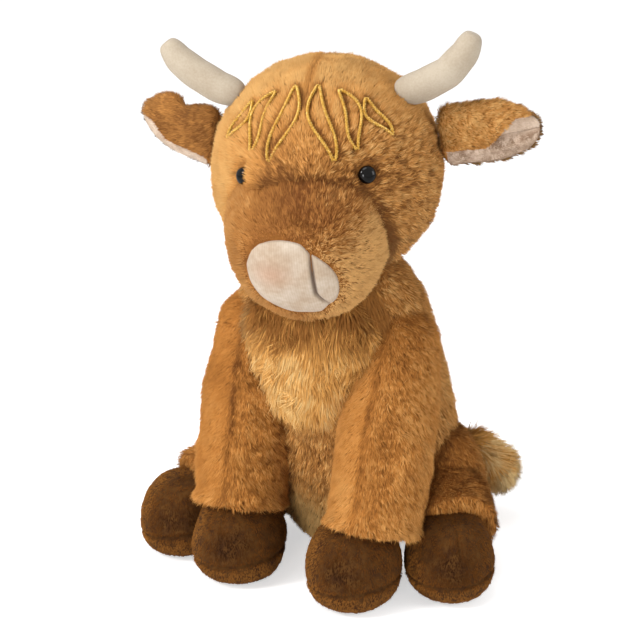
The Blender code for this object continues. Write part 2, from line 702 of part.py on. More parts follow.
def build_front_legs(parts, cutters, cloth):
    """Front legs, each a ball at the shoulder that swells to a cuff, with its hoof."""
    legs = {}
    for side, sign in SIDES:
        step = LEFT_FRONT_STEP if side == "left" else RIGHT_FRONT_STEP
        shoulder = Vector((sign * SHOULDER_OUT, -SHOULDER_FORWARD, SHOULDER_HEIGHT))
        cuff = Vector((sign * FRONT_CUFF_OUT, -FRONT_CUFF_FORWARD - step, FRONT_CUFF_HEIGHT)) - shoulder
        joint = joint_empty("shoulder_joint_" + side, shoulder, parts)
        leg = stuffed_form(
            "front_leg_" + side,
            lambda turn, cuff=cuff: limb_ring(
                turn, cuff, SHOULDER_RADIUS, FRONT_LEG_RADIUS * CUFF_SHARE, FRONT_LEG_SHARES, FRONT_LEG_RADIUS),
            MIDDLE, parts, joint)
        stand = Vector((sign * FRONT_HOOF_OUT - HOOF_SHIFT, -FRONT_HOOF_FORWARD - step, HOOF_HALF_HEIGHT))
        hoof = build_hoof("front_hoof_" + side, stand - shoulder, cuff, parts, cutters, joint, leg, cloth)
        finish(leg, cloth["fur"])
        legs[side] = (leg, hoof, shoulder)
    return legs


def build_hoof(name, centre, cuff, parts, cutters, joint, leg, cloth):
    """A stuffed velour foot, blunt underneath, that meets the leg at its cuff."""
    facing = Vector((cuff.x, cuff.y, 0)).normalized() if "hind" in name else Vector((0, -1, 0))
    sideways = Vector((facing.y, -facing.x, 0))

    def ring(turn):
        share = way(turn)
        opened = closing(turn, 0.6 if share < 0.5 else 0.52)
        height = HOOF_HALF_HEIGHT * (2 * share - 1)
        slim = 1.0 - HOOF_SLIM_SHARE * share
        return (centre + Vector((0, 0, height)) - facing * HOOF_HALF_LENGTH * HOOF_BACK_SHARE * share,
                sideways * HOOF_HALF_WIDTH * slim * opened, facing * HOOF_HALF_LENGTH * slim * opened)
    hoof = stuffed_form(name, ring, MIDDLE, parts, joint)
    room = grown_copy(leg, "room_in_" + name, SEAM_GAP, cutters)
    boolean(hoof, room)
    return finish(hoof, cloth["hoof"])


def build_hind_legs(parts, cutters, cloth):
    """Hind legs, each an upright thigh with a leg that reaches out and forward, with its hoof."""
    legs = {}
    for side, sign in SIDES:
        step = LEFT_HIND_STEP if side == "left" else RIGHT_HIND_STEP
        hip = Vector((sign * HIP_OUT, -HIP_FORWARD, HIP_HEIGHT))
        cuff = Vector((sign * HIND_CUFF_OUT, -HIND_CUFF_FORWARD - step, HIND_CUFF_HEIGHT)) - hip
        joint = joint_empty("hip_joint_" + side, hip, parts)
        leg = stuffed_form(
            "hind_leg_" + side,
            lambda turn, cuff=cuff: limb_ring(
                turn, cuff, HIND_LEG_RADIUS * HIP_BALL_SHARE, HIND_LEG_RADIUS * CUFF_SHARE, HIND_LEG_SHARES,
                HIND_LEG_RADIUS),
            MIDDLE, parts, joint)
        stand = Vector((sign * HIND_HOOF_OUT - HOOF_SHIFT, -HIND_HOOF_FORWARD - step, HOOF_HALF_HEIGHT))
        hoof = build_hoof("hind_hoof_" + side, stand - hip, cuff, parts, cutters, joint, leg, cloth)
        thigh = hide_cutter(ball(
            "thigh_" + side, (0, 0, 0), HIP_RADIUS, HIP_HALF_HEIGHT, cutters, joint))
        boolean(leg, thigh, "UNION")
        finish(leg, cloth["fur"])
        legs[side] = (leg, hoof, hip)
    return legs


# Tail

def build_tail(parts, cutters, cloth):
    """The tail, a bent tube on a ball at the torso's back, and its tuft."""
    root = Vector((0, TAIL_ROOT_BACK, TAIL_HEIGHT))
    joint = joint_empty("tail_joint", root, parts)

    def spine(share):
        pace = share * (len(TAIL_SHARES) - 1)
        row = min(int(pace), len(TAIL_SHARES) - 2)
        across, back, up, radius = (
            a + (b - a) * (pace - row) for a, b in zip(TAIL_SHARES[row], TAIL_SHARES[row + 1]))
        return Vector((across * TAIL_REACH, back * TAIL_SWEEP, up * TAIL_SWEEP)), radius * TAIL_RADIUS

    def ring(turn):
        share = way(turn)
        centre, radius = spine(share)
        after = spine(min(1.0, share + 0.1))[0]
        before = spine(max(0.0, share - 0.1))[0]
        along = (after - before).normalized()
        upward = (Vector((0, 0, 1)) - along * along.z).normalized()
        opened = closing(turn, 0.4) * radius
        return centre, along.cross(upward) * opened, upward * opened
    tail = stuffed_form("tail", ring, SMALL, parts, joint)
    root_ball = hide_cutter(ball("tail_root", (0, 0, 0), TAIL_RADIUS, TAIL_RADIUS, cutters, joint, SMALL))
    boolean(tail, root_ball, "UNION")

    end, _radius = spine(1.0)
    along = Vector(TUFT_WAY).normalized()
    upward = (Vector((0, 0, 1)) - along * along.z).normalized()

    def tuft_ring(turn):
        share = way(turn)
        (swell,) = read_shares(((0.0, TUFT_SHARES[0]), (1.0, TUFT_SHARES[1])), share)
        opened = closing(turn, 0.7) * TUFT_RADIUS * swell
        centre = end + along * (TUFT_LENGTH * share - TAIL_RADIUS)
        return centre, along.cross(upward) * opened, upward * opened
    tuft = stuffed_form("tail_tuft", tuft_ring, SMALL, parts, joint)
    tail_room = grown_copy(tail, "tail_room", SEAM_GAP, cutters)
    boolean(tuft, tail_room)
    finish(tail, cloth["fur"])
    finish(tuft, cloth["ruff"])
    return tail, root


def main():
    """Build every piece and fit it to its neighbours."""
    clear_scene()
    parts = make_collection("plush_highland_cow")
    cutters = make_collection("cutters")
    cloth = make_materials()

    torso = build_torso(parts, cutters, cloth)
    ruff = build_ruff(parts, cutters, cloth)
    neck = joint_empty(
        "neck_joint", (0, -HEAD_FORWARD, HEAD_HEIGHT), parts, None,
        (0, math.radians(-HEAD_TILT), math.radians(HEAD_TURN)))
    head = build_head(parts, cutters, cloth, neck)
    head_form = hide_cutter(stuffed_form("head_form", head_ring, BIG, cutters, neck))
    head_room = grown_copy(head_form, "head_room", SEAM_GAP, cutters)
    muzzle, nose = build_muzzle(parts, cutters, cloth, neck)
    boolean(muzzle, head_room)
    build_eyes(parts, cutters, cloth, neck, head)
    build_horns(parts, cutters, cloth, neck, head_room)
    build_locks(parts, cloth, neck)
    build_ears(parts, cutters, cloth, neck, (head["skin"], head["filling"]))

    front = build_front_legs(parts, cutters, cloth)
    hind = build_hind_legs(parts, cutters, cloth)
    tail, tail_root = build_tail(parts, cutters, cloth)

    # The torso gives way to the head, the shoulder balls, the thighs and the tail's root
    sockets = [grown_copy(head_form, "head_dish", NECK_GAP, cutters)]
    for side, sign in SIDES:
        sockets.append(hide_cutter(ball(
            "shoulder_socket_" + side, front[side][2], SHOULDER_RADIUS + SWING_GAP,
            SHOULDER_RADIUS + SWING_GAP, cutters)))
        room = hide_cutter(ball(
            "shoulder_room_" + side, front[side][2] - Vector((0, SHOULDER_ROOM_FORWARD, 0)),
            SHOULDER_ROOM_RADIUS, SHOULDER_ROOM_HALF_HEIGHT, cutters))
        boolean(torso["filling"], room)
        sockets.append(hide_cutter(ball(
            "hip_socket_" + side, hind[side][2], HIP_RADIUS + SWING_GAP, HIP_HALF_HEIGHT + SWING_GAP,
            cutters)))
    sockets.append(hide_cutter(ball(
        "tail_socket", tail_root, TAIL_RADIUS + SWING_GAP, TAIL_RADIUS + SWING_GAP, cutters, None, SMALL)))
    for step in MUZZLE_TURNS:
        stop = joint_empty(
            "turned_%d" % step, (0, -HEAD_FORWARD, HEAD_HEIGHT), cutters, None,
            (0, math.radians(-HEAD_TILT), math.radians(HEAD_TURN + step)))
        swept = grown_copy(muzzle, "turned_muzzle_%d" % step, TURN_GAP, cutters)
        swept.parent = stop
        sockets.append(swept)
    for piece in (torso["skin"], torso["filling"], ruff):
        for socket in sockets:
            boolean(piece, socket)

    # The legs and the ruff give way to the torso outside those balls
    body_form = hide_cutter(stuffed_form("body_form", body_ring, BIG, cutters))
    body_room = grown_copy(body_form, "body_room", SEAM_GAP, cutters)
    boolean(ruff, body_room)
    for side, sign in SIDES:
        front_leg, front_hoof, shoulder = front[side]
        front_room = grown_copy(body_form, "front_leg_room_" + side, SEAM_GAP, cutters)
        boolean(front_room, hide_cutter(ball(
            "shoulder_keep_" + side, shoulder, SHOULDER_RADIUS + SEAM_GAP, SHOULDER_RADIUS + SEAM_GAP,
            cutters)))
        boolean(front_leg, front_room)
        hind_leg, hind_hoof, hip = hind[side]
        hind_room = grown_copy(body_form, "hind_leg_room_" + side, SEAM_GAP, cutters)
        boolean(hind_room, hide_cutter(ball(
            "hip_keep_" + side, hip, HIP_RADIUS + SEAM_GAP, HIP_HALF_HEIGHT + SEAM_GAP, cutters)))
        boolean(hind_leg, hind_room)
        for limb in (front_leg, front_hoof):
            behind = grown_copy(limb, "behind_" + limb.name, SWING_GAP, cutters)
            boolean(hind_leg, behind)
            boolean(hind_hoof, behind)
        for angle in LEG_TURNS:
            stop = joint_empty(
                "swung_%s_%d" % (side, angle), shoulder, cutters, None, (math.radians(-angle), 0, 0))
            swung = grown_copy(front_leg, "swung_%s_%d" % (front_leg.name, angle), TURN_GAP, cutters)
            swung.parent = stop
            boolean(ruff, swung)
            if angle > 0:
                boolean(torso["skin"], swung)
    boolean(tail, body_room)


main()
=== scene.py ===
import math

import bpy
import numpy as np
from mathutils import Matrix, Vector


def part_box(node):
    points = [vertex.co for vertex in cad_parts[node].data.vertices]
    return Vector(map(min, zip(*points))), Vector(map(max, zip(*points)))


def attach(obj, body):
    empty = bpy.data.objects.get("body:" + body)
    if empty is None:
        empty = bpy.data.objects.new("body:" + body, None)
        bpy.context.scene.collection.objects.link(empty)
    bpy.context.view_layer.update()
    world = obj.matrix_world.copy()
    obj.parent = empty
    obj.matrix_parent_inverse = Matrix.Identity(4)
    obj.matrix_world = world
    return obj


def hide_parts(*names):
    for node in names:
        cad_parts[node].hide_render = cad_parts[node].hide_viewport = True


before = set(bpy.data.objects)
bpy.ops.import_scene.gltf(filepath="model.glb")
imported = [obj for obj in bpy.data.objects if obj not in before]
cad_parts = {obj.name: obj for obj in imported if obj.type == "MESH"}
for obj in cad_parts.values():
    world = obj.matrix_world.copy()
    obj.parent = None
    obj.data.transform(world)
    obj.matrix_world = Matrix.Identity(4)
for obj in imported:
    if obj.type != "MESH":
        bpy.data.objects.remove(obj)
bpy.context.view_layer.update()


# Torso cover. A sewn bell of caramel plush that leans forward to the neck, stuffed with fibre over
# a small pouch of pellets. The knitted backing of the plush is this cover; its pile comes later.

BODY_HEIGHT = 0.207
BODY_HALF_WIDTH = 0.060
BODY_HALF_DEPTH = 0.055
BODY_LEAN = 0.036
BODY_ENDS = (0.6, 0.38)  # powers that close its lower and its upper end; lower ones are blunter
BODY_LUMPS = (0.0009, 0.030, 0.011)     # height, size and finer size of what the filling raises
FINE_LUMP = 0.0003       # height of the finer lumps
BACK_SEAM = (0.0012, 0.0016)            # its depth and half width
BELLY_HEIGHT = 0.046
BELLY_REACH = (0.028, 0.036)            # how far across and up the belly is full
BELLY_FULL = 0.0045      # how far the belly stands out between the legs
BODY_SHARES = (          # height, lean, width and depth, each a share
    (0.000, 0.00, 1.00, 0.86), (0.060, -0.07, 1.00, 0.86), (0.130, -0.12, 1.00, 0.88),
    (0.290, 0.00, 1.11, 1.00), (0.400, 0.19, 1.12, 1.00), (0.483, 0.31, 1.09, 0.96),
    (0.676, 0.64, 1.03, 0.85), (0.830, 0.86, 1.02, 0.80), (0.932, 0.97, 0.92, 0.76),
    (1.000, 1.00, 0.70, 0.60),
)


def linear(code):
    """An sRGB hex colour as linear light: the two-part sRGB curve, channel by channel."""
    values = np.array([int(code[k:k + 2], 16) for k in (1, 3, 5)]) / 255.0
    light = np.where(values <= 0.04045, values / 12.92, ((values + 0.055) / 1.055) ** 2.4)
    return (*light.tolist(), 1.0)


def add(tree, kind, settings=None, links=None):
    """Add one node; settings are its properties or inputs, links join its inputs to other outputs."""
    node = tree.nodes.new("ShaderNode" + kind)
    for key, value in (settings or {}).items():
        if isinstance(key, str) and hasattr(node, key):
            setattr(node, key, value)
        else:
            node.inputs[key].default_value = value
    for key, source in (links or {}).items():
        tree.links.new(source, node.inputs[key])
    return node


def spread(ramp, stops):
    """Set a colour ramp's stops, each a place and a hex colour."""
    while len(ramp.elements) < len(stops):
        ramp.elements.new(0.5)
    for element, (place, code) in zip(ramp.elements, stops):
        element.position = place
        element.color = linear(code)


def new_material(name):
    """A material with no nodes yet, and its node tree."""
    material = bpy.data.materials.new(name)
    material.use_nodes = True
    material.node_tree.nodes.clear()
    return material, material.node_tree


def backing(name, dark, light, grain=0.0012):
    """Knitted backing cloth, seen between the fibres' roots: mottled, and rough all over."""
    material, tree = new_material(name)
    place = add(tree, "TexCoord")
    knit = add(tree, "TexNoise", {"Scale": 1 / grain / 4, "Detail": 3.0}, {"Vector": place.outputs["Object"]})
    tone = add(tree, "ValToRGB", None, {0: knit.outputs[0]})
    spread(tone.color_ramp, ((0.35, dark), (0.65, light)))
    bump = add(tree, "Bump", {"Strength": 0.3, "Distance": grain / 4}, {"Height": knit.outputs[0]})
    shader = add(tree, "BsdfPrincipled", {"Roughness": 0.95, "Specular IOR Level": 0.15},
                 {"Base Color": tone.outputs[0], "Normal": bump.outputs[0]})
    add(tree, "OutputMaterial", None, {"Surface": shader.outputs[0]})
    return material


def unit(vectors):
    """Each vector at length one."""
    return vectors / np.maximum(np.linalg.norm(vectors, axis=-1, keepdims=True), 1e-12)


def dot(first, second):
    """Row by row product of two arrays of vectors."""
    return np.sum(first * second, axis=-1)


def stack(x, y, z):
    """Three arrays as one array of vectors."""
    x, y, z = np.broadcast_arrays(x, y, z)
    return np.stack([x, y, z], axis=-1)


def past(value, start, stretch):
    """How far values have gone past a start, as a share of a stretch and from 0 to 1: their
    difference divided by the stretch, which is negative where the values fall."""
    return np.clip((value - start) / stretch, 0, 1)


def bell(*offsets):
    """A smooth bump, 1 in the middle: e to minus the sum of the squared offsets, each divided by how
    far it reaches."""
    return np.exp(-sum((off / reach) ** 2 for off, reach in offsets))


def read_shares(table, share, steps=240, eased=12):
    """Read a table of shares between its rows; a running mean over some of its fine steps to each
    side eases the corners."""
    fine = np.linspace(0, 1, steps + 1)
    table = np.array(table)
    window = np.hanning(2 * eased + 3)[1:-1]
    window /= window.sum()
    read = []
    for column in table.T[1:]:
        values = np.interp(fine, table[:, 0], column)
        before, after = 2 * values[0] - values[eased:0:-1], 2 * values[-1] - values[-2:-eased - 2:-1]
        padded = np.concatenate([before, values, after])
        read.append(np.interp(share, fine, np.convolve(padded, window, "valid")))
    return read


def closing(turn, fullness):
    """How far a form has opened at a turn from pole to pole: the sine to a power."""
    return np.clip(np.sin(np.pi * turn), 0, 1) ** fullness


def way(turn):
    """The share of a form's length at a turn from pole to pole: the eased half cosine."""
    return (1 - np.cos(np.pi * turn)) / 2


def turn_at(share):
    """The turn at a share of a form's length: the reverse of way."""
    return np.arccos(np.clip(1 - 2 * share, -1, 1)) / np.pi


def carried(ring, around, turn, dent=None):
    """Points of a form: a ring's centre, plus its side by the cosine and its front by the sine of
    the way around. The dent moves each point outward by what it returns for the points."""
    centre, side, front = ring(turn)
    angle = 2 * np.pi * around
    reach = side * np.cos(angle)[..., None] + front * np.sin(angle)[..., None]
    points = centre + reach
    if dent is not None:
        points = points + unit(reach) * dent(points)[..., None]
    return points


def within(points, ring, turn, share, grow=0.0):
    """Whether points lie in a form grown by a length: inside the ellipse of the ring at their turn."""
    centre, side, front = ring(turn)
    away = points - centre
    wide = np.linalg.norm(side, axis=-1) + grow
    deep = np.linalg.norm(front, axis=-1) + grow
    across = dot(away, unit(side)) / np.maximum(wide, 1e-6)
    ahead = dot(away, unit(front)) / np.maximum(deep, 1e-6)
    return (across ** 2 + ahead ** 2 < 1) & (share > 0) & (share < 1)


def lumps(points, size, seed, channels=1):
    """Smooth noise from -1 to 1: random values on a cubic lattice, eased between its corners by
    3 t squared minus 2 t cubed. The lattice repeats after 16 cells, and starts below every point."""
    cells = 16
    values = np.random.default_rng(seed).uniform(-1, 1, (cells, cells, cells, channels))
    place = points / size + 4 * cells
    low = np.floor(place).astype(int)
    part = place - low
    part = part * part * (3 - 2 * part)
    total = np.zeros(points.shape[:-1] + (channels,))
    for corner in np.ndindex(2, 2, 2):
        weight = np.prod(np.where(np.array(corner) == 1, part, 1 - part), axis=-1)
        index = (low + np.array(corner)) % cells
        total += weight[..., None] * values[index[..., 0], index[..., 1], index[..., 2]]
    return total if channels > 1 else total[..., 0]


def stuffing(points, sizes, seed):
    """Lumps of filling under the cloth: soft noise, and a finer one on it."""
    height, size, fine_size = sizes
    return height * lumps(points, size, seed) + FINE_LUMP * lumps(points, fine_size, seed + 1)


def put_mesh(name, points, faces, material, palette=None, normals=None):
    """An object from arrays of points and triangles, with its palette places as its UV map."""
    mesh = bpy.data.meshes.new(name)
    mesh.vertices.add(len(points))
    mesh.vertices.foreach_set("co", points.astype(np.float32).ravel())
    mesh.loops.add(faces.size)
    mesh.loops.foreach_set("vertex_index", faces.astype(np.int32).ravel())
    mesh.polygons.add(len(faces))
    mesh.polygons.foreach_set("loop_start", np.arange(0, faces.size, 3, dtype=np.int32))
    mesh.polygons.foreach_set("use_smooth", np.ones(len(faces), dtype=bool))
    mesh.update(calc_edges=True)
    if palette is not None:
        layer = mesh.uv_layers.new(name="OFBake")
        layer.data.foreach_set("uv", palette[faces.ravel()].astype(np.float32).ravel())
    if normals is not None:
        mesh.normals_split_custom_set_from_vertices(normals.tolist())
    mesh.materials.append(material)
    item = bpy.data.objects.new(name, mesh)
    bpy.context.scene.collection.objects.link(item)
    return item


def closed_form(name, ring, material, dent=None, rows=44, columns=60):
    """A closed form: rings of points from pole to pole, with one point at each pole."""
    turn, around = np.meshgrid(np.linspace(0, 1, rows + 1)[1:-1], np.arange(columns) / columns, indexing="ij")
    body = carried(ring, around, turn, dent).reshape(-1, 3)
    ends = np.array([ring(np.array([end]))[0][0] for end in (0.0, 1.0)])
    points = np.concatenate([body, ends])
    row, column = np.meshgrid(np.arange(rows - 2), np.arange(columns), indexing="ij")
    here = row * columns + column
    beside = row * columns + (column + 1) % columns
    over = beside + columns
    quads = np.stack([here, beside, over, here, over, here + columns], -1).reshape(-1, 3)
    rim = np.arange(columns)
    last = (rows - 2) * columns
    first_cap = np.stack([rim * 0 + len(body), (rim + 1) % columns, rim], -1)
    last_cap = np.stack([rim * 0 + len(body) + 1, last + rim, last + (rim + 1) % columns], -1)
    faces = np.concatenate([quads, first_cap, last_cap])
    corner = points[faces]
    if np.sum(dot(corner[:, 0], np.cross(corner[:, 1], corner[:, 2]))) < 0:
        faces = faces[:, ::-1]
    return put_mesh(name, points, faces, material)


def body_ring(turn):
    """The torso: level ellipses that lean forward as they rise, rounder below than above."""
    share = way(turn)
    lean, width, depth = read_shares(BODY_SHARES, share)
    out = closing(turn, np.where(share < 0.5, *BODY_ENDS))
    return (stack(0, -lean * BODY_LEAN, share * BODY_HEIGHT), stack(BODY_HALF_WIDTH * width * out, 0, 0),
            stack(0, BODY_HALF_DEPTH * depth * out, 0))


def in_body(points, grow=0.0):
    """Whether points lie in the torso."""
    share = points[..., 2] / BODY_HEIGHT
    return within(points, body_ring, turn_at(share), share, grow)


def body_dent(points):
    """The torso's surface: shallow folds of the stuffed cloth, its seam down the back, and the
    fullness of the belly between the legs."""
    x, y, z = np.moveaxis(points, -1, 0)
    seam = bell((x, BACK_SEAM[1])) * (y > 0)
    full = bell((x, BELLY_REACH[0]), (z - BELLY_HEIGHT, BELLY_REACH[1])) * (y < 0)
    return stuffing(points, BODY_LUMPS, 11) - BACK_SEAM[0] * seam + BELLY_FULL * full


CARAMEL_BACKING = backing("caramel_knit_backing", "#8a5826", "#a87038")
body_cloth = closed_form("body_cloth", body_ring, CARAMEL_BACKING, body_dent)
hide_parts("body_skin", "body_filling", "pellet_pouch")
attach(body_cloth, "torso")

# Seat. A flat panel of brown cloth that closes the torso underneath.

SEAT_THREADS = 0.0016    # grain of the woven cloth
SEAT_END = 0.22
seat_low, seat_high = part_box("seat_panel")
SEAT_CLOTH = backing("brown_woven_seat_cloth", "#6a4420", "#8f6232", SEAT_THREADS)


def seat_ring(turn):
    """The seat panel: an oval with a rounded edge."""
    share = way(turn)
    out = closing(turn, SEAT_END)
    return (stack(0, 0, seat_low[2] + (seat_high[2] - seat_low[2]) * share),
            stack(seat_high[0] * out, 0, 0), stack(0, seat_high[1] * out, 0))


seat_cloth = closed_form("seat_cloth", seat_ring, SEAT_CLOTH, rows=24, columns=96)
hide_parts("seat_panel")
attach(seat_cloth, "torso")

# Head cover. A plush ball sewn to the neck, set looking a little to its left and tipped. Its
# places are given in its own frame, whose origin is the ball's centre.

HEAD_RADIUS = 0.0643
HEAD_HALF_HEIGHT = 0.0629
HEAD_CENTRE = np.array([0.0, -0.040, 0.247])
HEAD_TURN = math.radians(11.80)
HEAD_TILT = math.radians(3.5)
HEAD_SHARES = ((0.0, 0.94), (0.25, 1.005), (0.5, 1.0), (0.8, 1.01), (1.0, 1.0))
HEAD_END = 0.98
HEAD_LUMPS = (0.0010, 0.028, 0.010)
CROWN_SEAM = (0.0022, 0.0024)           # its depth and half width
CROWN_START = (0.040, 0.01)             # height at which the crown's seam begins, and how soon it is deep
EYE_RADIUS = 0.005
EYE_ACROSS = 31.75       # degrees round the head from its front
EYE_RAISE = 7.5          # degrees up from its widest ring
EYE_HOLLOW = (0.0024, 0.0075)           # depth and reach of the hollow round an eye
BRIDGE_ACROSS = -25.0    # degrees, beside the eye on the far side
BRIDGE_RAISE = EYE_RAISE - 1
BRIDGE_RISE = 0.0062
BRIDGE_REACH = (0.015, 0.0048, 0.010)   # towards the nose, towards the eye, and up or down
SIDES = (("left", 1.0), ("right", -1.0))


def turned_about(x_angle, y_angle, z_angle):
    """Rotation matrix of turns about X, then Y, then Z."""
    cx, sx = math.cos(x_angle), math.sin(x_angle)
    cy, sy = math.cos(y_angle), math.sin(y_angle)
    cz, sz = math.cos(z_angle), math.sin(z_angle)
    about_x = np.array([[1, 0, 0], [0, cx, -sx], [0, sx, cx]])
    about_y = np.array([[cy, 0, sy], [0, 1, 0], [-sy, 0, cy]])
    about_z = np.array([[cz, -sz, 0], [sz, cz, 0], [0, 0, 1]])
    return about_z @ about_y @ about_x


HEAD_WAY = turned_about(0, -HEAD_TILT, HEAD_TURN)


def from_head(points):
    """Points of the head's frame in the toy's frame."""
    return points @ HEAD_WAY.T + HEAD_CENTRE


def to_head(points):
    """Points of the toy's frame in the head's frame."""
    return (points - HEAD_CENTRE) @ HEAD_WAY


def placed(ring, place, turn_way):
    """A ring in the toy's frame, from one in a frame that stands at a place, turned."""
    def moved(turn):
        """The same ring, turned and then carried to the place."""
        centre, side, front = ring(turn)
        return centre @ turn_way.T + place, side @ turn_way.T, front @ turn_way.T

    return moved


def head_shape(turn):
    """The head in its own frame: level rings of a ball that is a little fuller low down."""
    share = way(turn)
    (radius,) = read_shares(HEAD_SHARES, share)
    reach = HEAD_RADIUS * radius * closing(turn, HEAD_END)
    return stack(0, 0, HEAD_HALF_HEIGHT * (2 * share - 1)), stack(reach, 0, 0), stack(0, reach, 0)


head_ring = placed(head_shape, HEAD_CENTRE, HEAD_WAY)


def in_head(points, grow=0.0):
    """Whether points lie in the head."""
    share = (to_head(points)[..., 2] / (HEAD_HALF_HEIGHT + grow) + 1) / 2
    return within(points, head_ring, turn_at(share), share, grow)


def head_surface(across, raised):
    """A point on the head in its own frame and the way out there, from angles in degrees."""
    centre, side, _front = head_shape(0.5 + np.asarray(raised, float) / 180)
    reach = side[..., 0]
    angle = np.radians(across)
    place = centre + stack(np.sin(angle) * reach, -np.cos(angle) * reach, 0)
    return place, unit(place / np.array([HEAD_RADIUS, HEAD_RADIUS, HEAD_HALF_HEIGHT]))


eye_places = {side: head_surface(sign * EYE_ACROSS, EYE_RAISE) for side, sign in SIDES}
bridge, _out = head_surface(BRIDGE_ACROSS, BRIDGE_RAISE)


def head_dent(points):
    """The head's surface: soft lumps of filling, the crown's seam, a hollow at each eye, and the
    fullness over the bridge of the nose that half covers the eye on the far side."""
    own = to_head(points)
    seam = bell((own[..., 0], CROWN_SEAM[1])) * past(own[..., 2], *CROWN_START)
    hollow = sum(np.exp(-dot(own - place, own - place) / EYE_HOLLOW[1] ** 2)
                 for place, _out in eye_places.values())
    off = own - bridge
    wide = np.where(off[..., 0] > 0, *BRIDGE_REACH[:2])
    full = bell((off[..., 0], wide), (off[..., 2], BRIDGE_REACH[2])) * (own[..., 1] < 0)
    return (stuffing(points, HEAD_LUMPS, 31) - CROWN_SEAM[0] * seam - EYE_HOLLOW[0] * hollow
            + BRIDGE_RISE * full)


head_cloth = closed_form("head_cloth", head_ring, CARAMEL_BACKING, head_dent)
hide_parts("head_skin", "head_filling")
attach(head_cloth, "head")

# Muzzle cover. A stuffed block of browner plush that droops from the front of the head, square
# over its top edge and sewn on all round.

MUZZLE_HALF_WIDTH = 0.0435
MUZZLE_HALF_HEIGHT = 0.0440
MUZZLE_HALF_LENGTH = 0.042
MUZZLE_PITCH = math.radians(30)
MUZZLE_MIDDLE = np.array([-0.004, -0.040, -0.0295])
MUZZLE_ALONG = np.array([0, -math.cos(MUZZLE_PITCH), -math.sin(MUZZLE_PITCH)])
MUZZLE_UP = np.array([0, -math.sin(MUZZLE_PITCH), math.cos(MUZZLE_PITCH)])
MUZZLE_ENDS = (0.9, 0.8)
MUZZLE_LUMPS = (0.0009, 0.022, 0.009)
MUZZLE_SQUARE = 2.7      # power of the curve over its top; 2 would be round
MUZZLE_TOP = (-0.1, 0.5)                # sine round its ring from which the curve is squarer, and how soon


def muzzle_shape(turn):
    """The muzzle in the head's frame: rings along its drooping line, blunter at the nose."""
    share = way(turn)
    out = closing(turn, np.where(share < 0.5, *MUZZLE_ENDS))
    centre = MUZZLE_MIDDLE + MUZZLE_ALONG * (MUZZLE_HALF_LENGTH * (2 * share - 1))[..., None]
    return centre, stack(MUZZLE_HALF_WIDTH * out, 0, 0), MUZZLE_UP * (MUZZLE_HALF_HEIGHT * out)[..., None]


muzzle_ring = placed(muzzle_shape, HEAD_CENTRE, HEAD_WAY)


def in_muzzle(points, grow=0.0):
    """Whether points lie in the muzzle."""
    along = (to_head(points) - MUZZLE_MIDDLE) @ MUZZLE_ALONG
    share = (along / (MUZZLE_HALF_LENGTH + grow) + 1) / 2
    return within(points, muzzle_ring, turn_at(share), share, grow)


def muzzle_dent(points):
    """The muzzle's surface: lumps of filling, and the top half filled out from an ellipse to a
    squarer curve, (|across|^n + |up|^n)^(-1/n) of the way along each ray."""
    own = to_head(points) - MUZZLE_MIDDLE
    across, up = own[..., 0], own @ MUZZLE_UP
    angle = np.arctan2(up / MUZZLE_HALF_HEIGHT, across / MUZZLE_HALF_WIDTH)
    power = MUZZLE_SQUARE
    square = (np.abs(np.cos(angle)) ** power + np.abs(np.sin(angle)) ** power) ** (-1 / power) - 1
    fuller = np.hypot(across, up) * square * past(np.sin(angle), *MUZZLE_TOP)
    return fuller + stuffing(points, MUZZLE_LUMPS, 61)


BROWN_BACKING = backing("brown_knit_backing", "#6b3f18", "#8a5828")
muzzle_cloth = closed_form("muzzle_cloth", muzzle_ring, BROWN_BACKING, muzzle_dent)
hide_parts("muzzle")
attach(muzzle_cloth, "head")

# Front leg covers. Stuffed tubes sewn to the chest, each with a seam down its front and a turned
# hem that stands over its hoof.

SHOULDER = (0.0442, -0.039, 0.1465)
SHOULDER_RADIUS = 0.023
FRONT_CUFF = (0.0420, -0.072, 0.046)
FRONT_LEG_RADIUS = 0.028
LEG_LUMPS = (0.0009, 0.022, 0.008)
LEG_SEAM = (0.0011, 0.0016)             # depth and half width of the seam down its front
LEG_HEM = (0.0012, 0.004)               # how much fuller the hem is, and how far up
LEG_FLAT = 0.0048        # how much flatter a leg is on the side next to the belly
LEG_FLAT_FROM = 0.05     # how far below the shoulder it is so
FRONT_LEG_SHARES = ((0.0, 0.84), (0.35, 1.03), (0.7, 1.05), (1.0, 0.98))
STEPS = {"front_left": 0.002, "front_right": -0.004, "hind_left": -0.003, "hind_right": 0.005}
BALL_TURN = 0.3          # the turn at which a limb's half ball ends
CUFF_TURN = 0.93         # the turn at which its flat end begins
CUFF_ROUND = 0.003       # how far the flat end stands out in its middle


